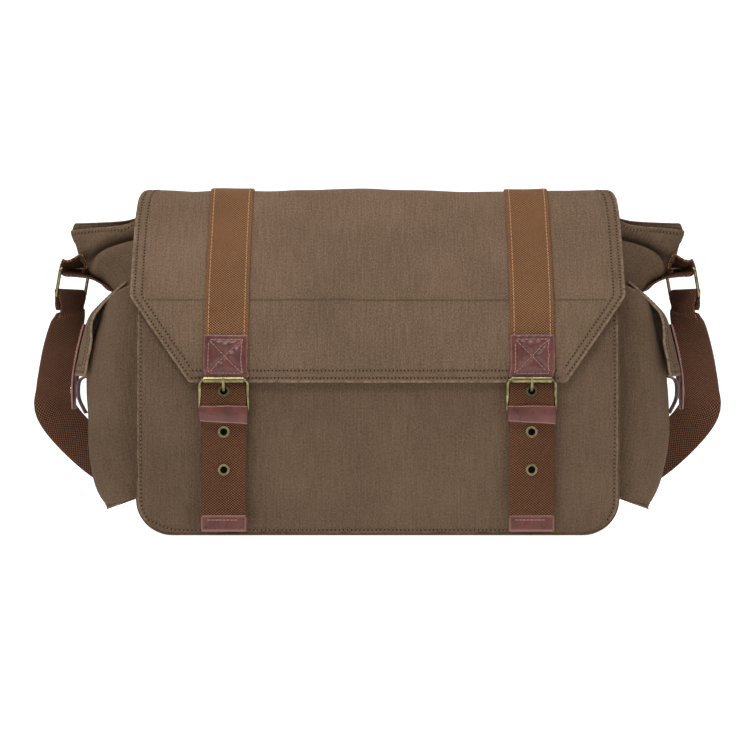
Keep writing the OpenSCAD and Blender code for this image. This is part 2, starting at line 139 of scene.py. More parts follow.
def build_backdrop():
    """A white floor that curves up into a white wall."""
    radius = 1.2
    turns = np.radians(range(0, 91, 6))
    bend = [(3.0 + radius * math.sin(a), radius - radius * math.cos(a)) for a in turns]
    line = [(-3.5, 0.0)] + bend + [(3.0 + radius, 5.0)]
    verts = [(x, y, z) for y, z in line for x in (-5, 5)]
    faces = [(2 * k, 2 * k + 1, 2 * k + 3, 2 * k + 2) for k in range(len(line) - 1)]
    me = bpy.data.meshes.new("backdrop")
    me.from_pydata(verts, [], faces)
    me.polygons.foreach_set("use_smooth", [True] * len(me.polygons))
    backdrop = bpy.data.objects.new("backdrop", me)
    bpy.context.scene.collection.objects.link(backdrop)
    backdrop.location.z = -0.0006
    m, b = new_material("backdrop", (0.6, 0.6, 0.6), 0.95)
    b.inputs["Specular IOR Level"].default_value = 0
    b.inputs["Emission Color"].default_value = (1, 1, 1, 1)
    b.inputs["Emission Strength"].default_value = 0.95
    me.materials.append(m)


# ---- materials ----


def new_material(name, colour, roughness):
    """A material and its shader."""
    m = bpy.data.materials.new(name)
    m.use_nodes = True
    b = m.node_tree.nodes["Principled BSDF"]
    b.inputs["Base Color"].default_value = (*colour, 1)
    b.inputs["Roughness"].default_value = roughness
    return m, b


def dark_material(name, colour):
    """A dull material without any gloss, for the painted shade inside holes."""
    m, b = new_material(name, colour, 0.95)
    b.inputs["Specular IOR Level"].default_value = 0
    return m


class Nodes:
    """Short calls for building one material's node tree."""

    def __init__(self, material):
        self.tree = material.node_tree
        self.bsdf = self.tree.nodes["Principled BSDF"]

    def add(self, kind, **settings):
        n = self.tree.nodes.new(kind)
        for k, v in settings.items():
            setattr(n, k, v)
        return n

    def link(self, a, b):
        self.tree.links.new(a, b)

    def put(self, socket, value):
        if isinstance(value, bpy.types.NodeSocket):
            self.link(value, socket)
        else:
            socket.default_value = value

    def uv(self):
        return self.add("ShaderNodeUVMap", uv_map="cloth").outputs[0]

    def place(self):
        return self.add("ShaderNodeTexCoord").outputs["Object"]

    def stretch(self, vector, scale):
        n = self.add("ShaderNodeMapping")
        self.link(vector, n.inputs[0])
        n.inputs["Scale"].default_value = scale
        return n.outputs[0]

    def noise(self, vector, scale, detail=3.0, rough=0.55):
        n = self.add("ShaderNodeTexNoise")
        self.link(vector, n.inputs["Vector"])
        n.inputs["Scale"].default_value = scale
        n.inputs["Detail"].default_value = detail
        n.inputs["Roughness"].default_value = rough
        return n.outputs["Fac"]

    def fibres(self, scale, detail, rough):
        """Noise drawn out along the cloth's own coordinates."""
        return self.noise(self.stretch(self.uv(), scale), 1, detail, rough)

    def math(self, op, a, b=0.0):
        n = self.add("ShaderNodeMath", operation=op)
        for i, v in enumerate((a, b)):
            self.put(n.inputs[i], v)
        return n.outputs[0]

    def total(self, *terms):
        """The sum of values, each times its share."""
        parts = [self.math("MULTIPLY", value, share) for value, share in terms]
        out = parts[0]
        for part in parts[1:]:
            out = self.math("ADD", out, part)
        return out

    def spread(self, value, a, b, lo, hi):
        n = self.add("ShaderNodeMapRange")
        self.put(n.inputs[0], value)
        for i, v in enumerate((a, b, lo, hi)):
            n.inputs[i + 1].default_value = v
        return n.outputs[0]

    def mix(self, share, a, b):
        n = self.add("ShaderNodeMix", data_type="RGBA")
        self.put(n.inputs[0], share)
        self.put(n.inputs[6], a)
        self.put(n.inputs[7], b)
        return n.outputs[2]

    def attribute(self, name):
        return self.add("ShaderNodeAttribute", attribute_name=name).outputs["Fac"]

    def bump(self, height, strength, distance, before=None):
        n = self.add("ShaderNodeBump")
        n.inputs["Strength"].default_value = strength
        n.inputs["Distance"].default_value = distance
        self.link(height, n.inputs["Height"])
        if before is not None:
            self.link(before, n.inputs["Normal"])
        return n.outputs[0]

    def split(self, vector):
        n = self.add("ShaderNodeSeparateXYZ")
        self.link(vector, n.inputs[0])
        return n.outputs

    def slant(self, across, down):
        """-1 to 1 along slanting lines of the cloth's own coordinates."""
        u, v = self.split(self.uv())[:2]
        turn = self.math("ADD", self.math("DIVIDE", u, across), self.math("DIVIDE", v, down))
        return self.math("SINE", self.math("MULTIPLY", turn, 2 * math.pi))

    def waves(self, axis, period):
        """-1 to 1 along one axis of the cloth's own coordinates."""
        place = self.split(self.uv())[axis]
        return self.math("SINE", self.math("MULTIPLY", place, 2 * math.pi / period))


def rgb(r, g, b):
    """A colour given as it looks on a screen, 0 to 255, as the renderer counts it."""
    return tuple(((c / 255 + 0.055) / 1.055) ** 2.4 if c > 10 else c / 3294.6 for c in (r, g, b))


def canvas(name, light, dark, worn=0.5):
    """Washed cotton canvas: fine ribs down the cloth, uneven dye, and paler, fluffy hems."""
    m, b = new_material(name, light, 0.92)
    n = Nodes(m)
    mottle = n.noise(n.place(), 17, 4, 0.6)
    cloud = n.noise(n.place(), 5.5, 2, 0.5)
    streak = n.math("SUBTRACT", n.fibres((620, 38, 1), 3, 0.6), 0.2)
    fibre = n.fibres((1500, 420, 1), 2, 0.6)
    pepper = n.math("SUBTRACT", n.fibres((760, 520, 1), 2, 0.75), 0.5)
    shade = n.total((mottle, 0.5), (cloud, 0.35), (streak, 0.7), (fibre, 0.2), (pepper, 1.5))
    colour = n.mix(n.spread(shade, 0.46, 1.02, 0, 1), (*dark, 1), (*light, 1))
    fluff = n.spread(n.noise(n.place(), 260, 3, 0.7), 0.42, 0.62, 0, worn)
    patchy = n.math("MULTIPLY", n.attribute("hem"), fluff)
    pale = tuple(min(1, c * 1.75 + 0.012) for c in light)
    n.link(n.mix(patchy, colour, (*pale, 1)), b.inputs["Base Color"])
    ribs = n.waves(0, 0.0011)
    weave = n.total((ribs, 0.7), (n.waves(1, 0.0013), 0.35), (n.fibres((900, 160, 1), 3, 0.6), 2.2))
    first = n.bump(weave, 0.5, 0.00035)
    n.link(n.bump(n.noise(n.place(), 42, 3, 0.6), 0.35, 0.0025, first), b.inputs["Normal"])
    b.inputs["Specular IOR Level"].default_value = 0.06
    return m


def webbing(name, light, dark, edge):
    """Heavy cotton webbing: staggered raised knots, painted shade that runs dark in the gaps, and worn along
    the edges.
    """
    m, b = new_material(name, light, 0.85)
    n = Nodes(m)
    knots = n.math("ABSOLUTE", n.math("MULTIPLY", n.slant(0.0056, 0.0046), n.slant(0.0056, -0.0046)))
    knots = n.spread(knots, 0.05, 0.75, 0, 1)
    uneven = n.fibres((420, 210, 1), 3, 0.6)
    shade = n.total((knots, 1.0), (uneven, 0.3), (n.noise(n.place(), 14, 3, 0.5), 0.4))
    # Painted shade: the colour runs to near black in the gaps between the knots; the uneven noise is the
    # webbing's own tone.
    colour = n.mix(n.spread(shade, 0.36, 1.16, 0, 1), (*dark, 1), (*light, 1))
    worn = n.math("MULTIPLY", n.attribute("hem"), 0.3)
    n.link(n.mix(worn, colour, (*edge, 1)), b.inputs["Base Color"])
    first = n.bump(knots, 0.9, 0.0007)
    n.link(n.bump(uneven, 0.35, 0.0007, first), b.inputs["Normal"])
    b.inputs["Specular IOR Level"].default_value = 0.15
    return m


def leather(name, light, dark, gloss=0.38, coat=0.4):
    """Waxed leather with fine grain, creases and paler cut edges."""
    m, b = new_material(name, light, gloss)
    n = Nodes(m)
    grain = n.add("ShaderNodeTexVoronoi", feature="DISTANCE_TO_EDGE")
    n.link(n.place(), grain.inputs["Vector"])
    grain.inputs["Scale"].default_value = 850
    pebble = grain.outputs["Distance"]
    blotch = n.noise(n.place(), 70, 4, 0.65)
    colour = n.mix(n.spread(blotch, 0.35, 0.7, 0, 1), (*dark, 1), (*light, 1))
    raw = rgb(150, 104, 98)
    n.link(n.mix(n.attribute("hem"), colour, (*raw, 1)), b.inputs["Base Color"])
    first = n.bump(n.spread(pebble, 0, 0.25, 0, 1), 0.25, 0.00025)
    n.link(n.bump(n.noise(n.place(), 90, 2, 0.5), 0.2, 0.0009, first), b.inputs["Normal"])
    rubbed = n.noise(n.place(), 210, 3, 0.6)
    n.link(n.spread(rubbed, 0.3, 0.7, gloss - 0.08, gloss + 0.2), b.inputs["Roughness"])
    b.inputs["Specular IOR Level"].default_value = 0.3
    b.inputs["Coat Weight"].default_value = coat
    b.inputs["Coat Roughness"].default_value = 0.3
    return m


def brass(name, light, dark, gloss=0.34):
    """Antique brass: dark in the recesses, rubbed bright, with fine scratches."""
    m, b = new_material(name, light, gloss)
    n = Nodes(m)
    b.inputs["Metallic"].default_value = 1.0
    patina = n.noise(n.place(), 190, 4, 0.65)
    colour = n.mix(n.spread(patina, 0.26, 0.72, 0, 1), (*dark, 1), (*light, 1))
    n.link(colour, b.inputs["Base Color"])
    n.link(n.spread(patina, 0.3, 0.7, gloss + 0.16, gloss - 0.08), b.inputs["Roughness"])
    scratches = n.noise(n.stretch(n.place(), (900, 900, 260)), 1, 3, 0.7)
    n.link(n.bump(scratches, 0.18, 0.0002), b.inputs["Normal"])
    return m


def thread(name, colour):
    """Sewing thread, a little uneven in tone."""
    m, b = new_material(name, colour, 0.8)
    n = Nodes(m)
    shaded = tuple(c * 0.7 for c in colour)
    n.link(n.mix(n.noise(n.place(), 900, 2, 0.6), (*shaded, 1), (*colour, 1)), b.inputs["Base Color"])
    return m


def board(name, colour):
    """Pressed board for the stiffener in the base."""
    m, b = new_material(name, colour, 0.7)
    n = Nodes(m)
    shaded = tuple(c * 0.75 for c in colour)
    n.link(n.bump(n.noise(n.place(), 300, 4, 0.7), 0.3, 0.0005), b.inputs["Normal"])
    n.link(n.mix(n.noise(n.place(), 60, 3, 0.6), (*shaded, 1), (*colour, 1)), b.inputs["Base Color"])
    return m


MAT = {}


def make_materials():
    MAT["canvas"] = canvas("canvas", rgb(113, 92, 74), rgb(84, 68, 54))
    MAT["flap"] = canvas("flap_canvas", rgb(125, 103, 84), rgb(94, 76, 60))
    MAT["lining"] = canvas("lining", rgb(150, 136, 108), rgb(128, 114, 90), 0.1)
    # The webbings' near-black dark colours are painted shade in the gaps of the weave.
    MAT["webbing"] = webbing("flap_webbing", rgb(156, 111, 76), rgb(30, 17, 10), rgb(132, 92, 62))
    MAT["belt"] = webbing("belt_webbing", rgb(122, 80, 55), rgb(20, 12, 8), rgb(96, 64, 45))
    MAT["strap"] = webbing("strap_webbing", rgb(120, 80, 58), rgb(22, 13, 10), rgb(98, 64, 46))
    MAT["leather"] = leather("leather", rgb(108, 57, 49), rgb(78, 41, 35), 0.3, 0.32)
    MAT["matt_leather"] = leather("matt_leather", rgb(104, 58, 50), rgb(72, 38, 34), 0.6, 0.0)
    MAT["brass"] = brass("brass", rgb(156, 145, 104), rgb(82, 73, 50), 0.28)
    MAT["dark_thread"] = thread("dark_thread", rgb(116, 95, 75))
    # Painted shade: a darker copy of the sewing thread, standing in for the shade in the cross seam's
    # groove.
    MAT["seam_thread_painted_shade"] = thread("seam_thread_painted_shade", rgb(84, 67, 52))
    MAT["tan_thread"] = thread("tan_thread", rgb(200, 154, 108))
    MAT["pink_thread"] = thread("pink_thread", rgb(182, 138, 126))
    MAT["board"] = board("board", rgb(74, 60, 47))
    # Painted shade: the dark cones at the needle holes stand in for the shade inside them.
    MAT["hole"] = dark_material("needle_hole", rgb(46, 36, 28))
    # Painted shade: near black, for the shade inside the eyelets' bores.
    MAT["dark"] = dark_material("eyelet_bore_shade", rgb(14, 11, 9))
    MAT["piping"] = canvas("piping_canvas", rgb(96, 77, 59), rgb(70, 55, 42))


# ---- lines and surfaces ----


def smooth(points, n=6):
    """A curve through the points, with n steps between two of them."""
    p = np.array(points, float)
    last = len(p) - 1
    out = []
    for i in range(last):
        a, b, c, d = p[max(i - 1, 0)], p[i], p[i + 1], p[min(i + 2, last)]
        for k in range(n):
            t = k / n
            square, cube = 2 * a - 5 * b + 4 * c - d, 3 * b - a - 3 * c + d
            out.append(0.5 * (2 * b + (c - a) * t + square * t**2 + cube * t**3))
    return np.array(out + [p[last]])


def unit(vectors):
    """Vectors of length 1 along the given ones."""
    return vectors / np.maximum(np.linalg.norm(vectors, axis=-1, keepdims=True), 1e-12)


def lengths(points):
    """How far along the line each of its points is."""
    steps = np.linalg.norm(np.diff(points, axis=0), axis=1)
    return np.concatenate([[0], np.cumsum(steps)])


def along(points, stations):
    """The points of a line at the given distances along it."""
    s = lengths(points)
    return np.stack([np.interp(stations, s, points[:, k]) for k in range(points.shape[1])], axis=1)


def even(points, step):
    """The same line with points at even distances, about step apart."""
    total = lengths(points)[-1]
    return along(points, np.linspace(0, total, max(2, round(total / step) + 1)))


CLOSE = [0, 0.0007, 0.0015, 0.0024, 0.0034, 0.0046, 0.006, 0.0075, 0.0091, 0.011, 0.0135, 0.0165]


def ladder(total, step, fine_start=False, fine_end=False):
    """Stations from 0 to total, close together at a fine end."""
    a = CLOSE if fine_start else [0]
    b = [total - c for c in reversed(CLOSE)] if fine_end else [total]
    gap = b[0] - a[-1]
    n = max(1, round(gap / step))
    return np.array(a[:-1] + [a[-1] + gap * k / n for k in range(n + 1)] + b[1:])


def soft_noise(x, y, seed, reach):
    """Smooth uneven heights from -1 to 1, with swells about reach wide."""
    rng = random.Random(seed)
    total = 0
    for k in range(9):
        turn = rng.uniform(0, math.pi)
        pitch = reach * rng.uniform(0.75, 1.9)
        place = x * math.cos(turn) + y * math.sin(turn)
        total = total + np.sin(place * 2 * math.pi / pitch + rng.uniform(0, 7))
    return total / 4.5


def dip(distance, width):
    """1 on a line and falling to 0 beside it."""
    return np.exp(-(distance / width) ** 2)


def step_up(x, a, b):
    """0 up to a, 1 from b on, and a smooth rise between them."""
    t = np.clip((x - a) / (b - a), 0, 1)
    return t * t * (3 - 2 * t)


class Cloth:
    """The outside of a sheet as a grid of points: u runs across it, v along it."""

    def __init__(self, grid, flip=False):
        self.p = np.array(grid, float)
        self.flip = flip
        self.measure()

    def measure(self):
        n = unit(np.cross(np.gradient(self.p, axis=0), np.gradient(self.p, axis=1)))
        self.n = -n if self.flip else n
        across = np.linalg.norm(np.diff(self.p, axis=0), axis=2)
        down = np.linalg.norm(np.diff(self.p, axis=1), axis=2)
        self.u = np.concatenate([np.zeros((1, across.shape[1])), np.cumsum(across, axis=0)])
        self.v = np.concatenate([np.zeros((down.shape[0], 1)), np.cumsum(down, axis=1)], axis=1)
        self.middle = self.p.shape[0] // 2

    def edges(self):
        """Each point's distance from the two sides, the start and the end."""
        return self.u, self.u[-1] - self.u, self.v, self.v[:, -1:] - self.v

    def lift(self, height):
        """Moves the sheet outwards by one height, or by a height at each point."""
        self.p = self.p + self.n * np.asarray(height)[..., None]
        self.measure()
        return self

    def facing(self, column, way):
        """The same sheet with its outside turned towards way, at the middle of one column."""
        if self.n[self.middle, column] @ np.array(way) > 0:
            return self
        return Cloth(self.p, not self.flip)

    def spot(self, a, b):
        """Point and normal at a across and b along, from the far end where they are below zero."""
        rows = self.v[self.middle]
        b = b + rows[-1] if b < 0 else b
        j = np.interp(b, rows, np.arange(len(rows)))
        j0 = min(int(j), len(rows) - 2)
        tj = j - j0
        cols = self.u[:, j0] * (1 - tj) + self.u[:, j0 + 1] * tj
        a = a + cols[-1] if a < 0 else a
        i = np.interp(a, cols, np.arange(len(cols)))
        i0 = min(int(i), len(cols) - 2)
        ti = i - i0

        def mixed(g):
            low = g[i0, j0] * (1 - tj) + g[i0, j0 + 1] * tj
            high = g[i0 + 1, j0] * (1 - tj) + g[i0 + 1, j0 + 1] * tj
            return low * (1 - ti) + high * ti

        return mixed(self.p), unit(mixed(self.n))

    def length(self):
        return self.v[self.middle][-1]

    def width(self, b):
        return float(np.interp(b, self.v[self.middle], self.u[-1]))

    def line(self, corners, step=0.0015):
        """Points and normals on the sheet along straight runs between (a, b) corners."""
        corners = [(a, b + self.length() if b < 0 else b) for a, b in corners]
        if min(a for a, b in corners) < 0 < max(a for a, b in corners):
            corners = [(a + self.width(b) if a < 0 else a, b) for a, b in corners]
        c = even(np.array(corners, float), step)
        spots = [self.spot(a, b) for a, b in c]
        return np.array([s[0] for s in spots]), np.array([s[1] for s in spots])


# ---- pieces from surfaces ----


def make_piece(name, verts, faces, material, values=None, uv=None):
    """A mesh object; values are its hem shares at each vertex, uv its cloth coordinates."""
    me = bpy.data.meshes.new(name)
    me.from_pydata([tuple(v) for v in verts], [], [tuple(int(i) for i in f) for f in faces])
    me.materials.append(material)
    me.polygons.foreach_set("use_smooth", [True] * len(me.polygons))
    if values is not None:
        hem = me.attributes.new("hem", "FLOAT", "POINT")
        hem.data.foreach_set("value", np.asarray(values, np.float32))
    if uv is not None:
        layer = me.uv_layers.new(name="cloth")
        index = np.zeros(len(me.loops), int)
        me.loops.foreach_get("vertex_index", index)
        layer.data.foreach_set("uv", np.asarray(uv, np.float32)[index].ravel())
    me.update()
    o = bpy.data.objects.new(name, me)
    bpy.context.scene.collection.objects.link(o)
    return o


RIM_TURNS = [54, 18, -18, -54]


def quilt(name, cloth, thick, material, hem=0.0016, joined=None, hem_full=1.0):
    """A closed sheet: the cloth is its outside, and its rim is round except at a joined start or end."""
    p, n = cloth.p, cloth.n
    nu, nv = p.shape[:2]
    inner = p - n * thick
    u = cloth.u - cloth.u[-1] / 2
    v = np.broadcast_to(cloth.v[cloth.middle], (nu, nv))
    left, right, start, end = cloth.edges()
    near = [left, right] + [d for word, d in (("start", start), ("end", end)) if word != joined]
    edge = hem_full * np.clip(1 - np.min(near, axis=0) / hem, 0, 1)
    ids = np.arange(nu * nv).reshape(nu, nv)
    a, b, c, d = ids[:-1, :-1].ravel(), ids[1:, :-1].ravel(), ids[1:, 1:].ravel(), ids[:-1, 1:].ravel()
    quads = np.stack([a, d, c, b] if cloth.flip else [a, b, c, d], axis=1)
    faces = [quads, quads[:, ::-1] + nu * nv]

    # Once round the rim, with the way out of the sheet at each point
    rim = [(i, 0) for i in range(nu)] + [(nu - 1, j) for j in range(1, nv)]
    rim += [(i, nv - 1) for i in range(nu - 2, -1, -1)] + [(0, j) for j in range(nv - 2, 0, -1)]
    ri, rj = np.array(rim).T
    inside = p[np.clip(ri, 1, nu - 2), np.clip(rj, 1, nv - 2)]
    out = p[ri, rj] - inside
    rn = n[ri, rj]
    out = unit(out - rn * np.sum(out * rn, axis=1, keepdims=True))
    joined_column = {"start": 0, "end": nv - 1, None: -1}[joined]
    out[rj == joined_column] = 0
    centre = p[ri, rj] - rn * thick / 2
    rings = [centre + (out * math.cos(t) + rn * math.sin(t)) * thick / 2 for t in np.radians(RIM_TURNS)]
    count = len(rim)
    loops = [2 * nu * nv + k * count + np.arange(count) for k in range(len(rings))]
    loops = [ids[ri, rj]] + loops + [ids[ri, rj] + nu * nv]
    closed = (rj != joined_column) | (np.roll(rj, -1) != joined_column)
    for one, two in zip(loops, loops[1:]):
        q = np.stack([one, two, np.roll(two, -1), np.roll(one, -1)], axis=1)[closed]
        faces.append(q[:, ::-1] if cloth.flip else q)

    verts = np.concatenate([p.reshape(-1, 3), inner.reshape(-1, 3)] + rings)
    flat = np.stack([u.ravel(), v.ravel()], axis=1)
    rim_uv = np.stack([u[ri, rj], v[ri, rj]], axis=1)
    uv = np.concatenate([flat, flat] + [rim_uv] * len(rings))
    values = np.concatenate([edge.ravel(), edge.ravel() * 0.3] + [edge[ri, rj]] * len(rings))
    return make_piece(name, verts, np.concatenate(faces), material, values, uv)


def tube_mesh(lines, radius, sides=6):
    """Vertices and faces of round threads along lines, each given as its points and normals."""
    verts, faces = [], []
    for points, normals in lines:
        t = unit(np.gradient(points, axis=0))
        side = unit(np.cross(t, normals))
        up = np.cross(side, t)
        start = len(verts)
        for k in range(len(points)):
            for m in range(sides):
                angle = 2 * math.pi * m / sides
                verts.append(points[k] + radius * (math.cos(angle) * side[k] + math.sin(angle) * up[k]))
        for k in range(len(points) - 1):
            for m in range(sides):
                a, b = start + k * sides + m, start + k * sides + (m + 1) % sides
                faces.append((a, b, b + sides, a + sides))
        faces.append(tuple(start + m for m in reversed(range(sides))))
        faces.append(tuple(start + (len(points) - 1) * sides + m for m in range(sides)))
    return verts, faces


def tube(name, points, radius, material, sides=10):
    """A round cord along the points."""
    t = unit(np.gradient(points, axis=0))
    aside = np.array([0.31, 0.9, 0.3])
    normals = aside - t * (t @ aside)[:, None]
    verts, faces = tube_mesh([(points, normals)], radius, sides)
    round_it = [math.sin(2 * math.pi * m / sides) * radius for m in range(sides)]
    uv = np.array([(u, s) for s in lengths(points) for u in round_it])
    return make_piece(name, verts, faces, material, np.zeros(len(verts)), uv)


# One stitch: shares of its length, and its height in thread radii at each
STITCH_SHARES = np.array([0, 0.12, 0.35, 0.65, 0.88, 1])
STITCH_RISE = np.array([-0.5, 0.45, 0.75, 0.75, 0.45, -0.5])
STITCH_LIFT = 0.00012


def stitched(name, look, cloth, rows, pitch=0.0037, radius=0.00036, holes=True):
    """Threads along rows of (a, b) corners on the cloth, and dark cones of painted shade in their needle
    holes as a second piece.
    """
    rng = random.Random(name)
    threads, spots = [], []
    for corners in rows:
        points, normals = cloth.line(corners)
        s = lengths(points)
        at = pitch * rng.uniform(0.2, 0.6)
        while at + pitch < s[-1]:
            run = pitch * rng.uniform(0.66, 0.76)
            stations = at + run * STITCH_SHARES
            n = unit(np.stack([np.interp(stations, s, normals[:, k]) for k in range(3)], axis=1))
            rise = STITCH_RISE * radius + STITCH_LIFT
            threads.append((along(points, stations) + n * rise[:, None], n))
            spots.append((along(points, [at - pitch * 0.14])[0], n[0]))
            at += pitch
    pieces = [make_piece(name, *tube_mesh(threads, radius), MAT[look])]
    if holes:
        pieces.append(needle_holes(name + "_holes", spots))
    return pieces


def needle_holes(name, spots):
    """Small dark cones that lie on the cloth at each point and normal: painted shade inside the needle
    holes.
    """
    verts, faces = [], []
    for centre, n in spots:
        a = unit(np.cross(n, (0.3, 0.5, 0.8)))
        b = np.cross(n, a)
        start = len(verts)
        for turn in np.radians(range(0, 360, 60)):
            verts.append(centre + n * 0.0004 + HOLE_R * (math.cos(turn) * a + math.sin(turn) * b))
        verts.append(centre + n * 0.00046)
        faces += [(start + k, start + (k + 1) % 6, start + 6) for k in range(6)]
    return make_piece(name, verts, faces, MAT["hole"])


def ribbon(centres, across, width, cells=10):
    """The outside of a band: its centre line, the way across it and its width at each point."""
    c = np.array(centres, float)
    a = np.broadcast_to(np.array(across, float), c.shape)
    t = unit(np.gradient(c, axis=0))
    a = unit(a - t * np.sum(a * t, axis=1, keepdims=True))
    w = np.broadcast_to(np.asarray(width, float), (len(c),))
    close = np.array([0, 0.0003, 0.0008, 0.002]) / np.max(w)
    inset = 0.004 / np.max(w)
    share = np.concatenate([close, np.linspace(inset + 0.03, 0.97 - inset, cells), 1 - close[::-1]])
    return Cloth(c[None] + (share[:, None, None] - 0.5) * (w[:, None] * a)[None])


def labelled(replaces):
    """Hides the CAD nodes that the pieces replace."""
    if replaces:
        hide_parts(*replaces)


def placed(pieces, body, replaces=()):
    """Pieces that ride one body."""
    pieces = pieces if isinstance(pieces, list) else [pieces]
    for o in pieces:
        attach(o, body)
    labelled(replaces)


def bent(pieces, a, b, start, end, slot, replaces=()):
    """Pieces with their transforms baked in; nothing makes them bend, and a, b, start, end and slot are not
    used.
    """
    pieces = pieces if isinstance(pieces, list) else [pieces]
    for o in pieces:
        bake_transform(o)
    labelled(replaces)


# ---- the bag ----


def depth_at(line, z):
    """Distance of a panel's outside from the middle plane at a height."""
    table = smooth(line, 8) * MM
    return np.interp(z, table[:, 0], table[:, 1])


def half_at(z):
    """Half the width of the front and back panels at a height."""
    drop = np.maximum(CORNER_Z - z, 0)
    return BODY_HALF - CORNER_R + np.sqrt(np.maximum(CORNER_R**2 - drop**2, 0))


def panel(line, side):
    """The outside of the front or the back panel, sagging and puckered along its seams."""
    corner = CORNER_Z - CORNER_R * np.cos(np.radians(np.linspace(0, 81, 10)))
    z = np.concatenate([corner, CORNER_Z + ladder(HEM_Z - CORNER_Z, 0.0045, fine_end=True)])
    share = ladder(2 * BODY_HALF, 0.0055, True, True) / BODY_HALF - 1
    x = share[:, None] * half_at(z)[None]
    y = np.broadcast_to(side * depth_at(line, z), x.shape)
    cloth = Cloth(np.stack([x, y, np.broadcast_to(z, x.shape)], axis=2), flip=side > 0)
    left, right, low, high = cloth.edges()
    edge = np.minimum(np.minimum(left, right), low)
    run = np.where(np.minimum(left, right) < low, z[None], x)
    calm = step_up(edge, 0.004, 0.05)
    wave = soft_noise(x, cloth.p[:, :, 2], 3 + side, 0.16) * 0.0016 * calm
    wave += soft_noise(x, cloth.p[:, :, 2], 13 + side, 0.05) * 0.0005 * calm
    pucker = soft_noise(run, run * 0, 5, 0.011) * 0.00045 * dip(edge - 0.002, 0.006)
    wave += pucker - 0.0004 * dip(edge - 0.0025, 0.0011) + 0.0004 * dip(edge - 0.0085, 0.004)
    # the top hem, turned over twice
    wave += 0.0008 * (1 - step_up(high, 0.017, 0.0185)) - 0.0004 * dip(high - 0.0155, 0.0009)
    return cloth.lift(wave)


def build_panels():
    """The front and back panels with their seams and piping."""
    for name, line, side in (("front_panel", FRONT_LINE, -1), ("back_panel", BACK_LINE, 1)):
        cloth = panel(line, side)
        placed(quilt(name + "_cloth", cloth, CANVAS_T, MAT["canvas"]), "bag", (name,))
        inset = 0.0025
        foot = 2 * (BODY_HALF - CORNER_R)
        top = cloth.length() - 0.001
        hem = cloth.length() - 0.0155
        rows = [[(inset, top), (inset, 0.012), (0.014, inset), (foot - 0.014, inset),
                 (foot - inset + 0.001, 0.010)],
                [(-inset, 0.012), (-inset, top)],
                [(0.004, hem), (-0.004, hem)]]
        placed(stitched(name + "_seams", "dark_thread", cloth, rows), "bag")
        build_piping(name, line, side)


def build_piping(name, line, side):
    """The welt round a panel: down one side, along the base and up the other side."""
    edge = [(-half_at(z) - 0.0013, side * (depth_at(line, z) - 0.0012), z)
            for z in np.linspace(0.209, 0.034, 30)]
    low = side * (depth_at(line, 0.004) - 0.0012)
    corner = [(BODY_HALF - CORNER_R + (CORNER_R + 0.0013) * math.cos(a), low,
               CORNER_Z - (CORNER_R + 0.0008) * math.sin(a)) for a in np.radians(np.linspace(0, 90, 12))]
    path = edge + [(-x, y, z) for x, y, z in corner]
    path += [(x, low, 0.0018) for x in np.linspace(-0.18, 0.18, 50)]
    path += corner[::-1] + [(-x, y, z) for x, y, z in reversed(edge)]
    points = even(np.array(path), 0.003)
    points[:, 1] += soft_noise(points[:, 0], points[:, 2], 9, 0.03) * 0.0003
    replaces = ("edge_piping",) if side < 0 else ()
    placed(tube(name + "_piping", points, 0.0013, MAT["piping"]), "bag", replaces)


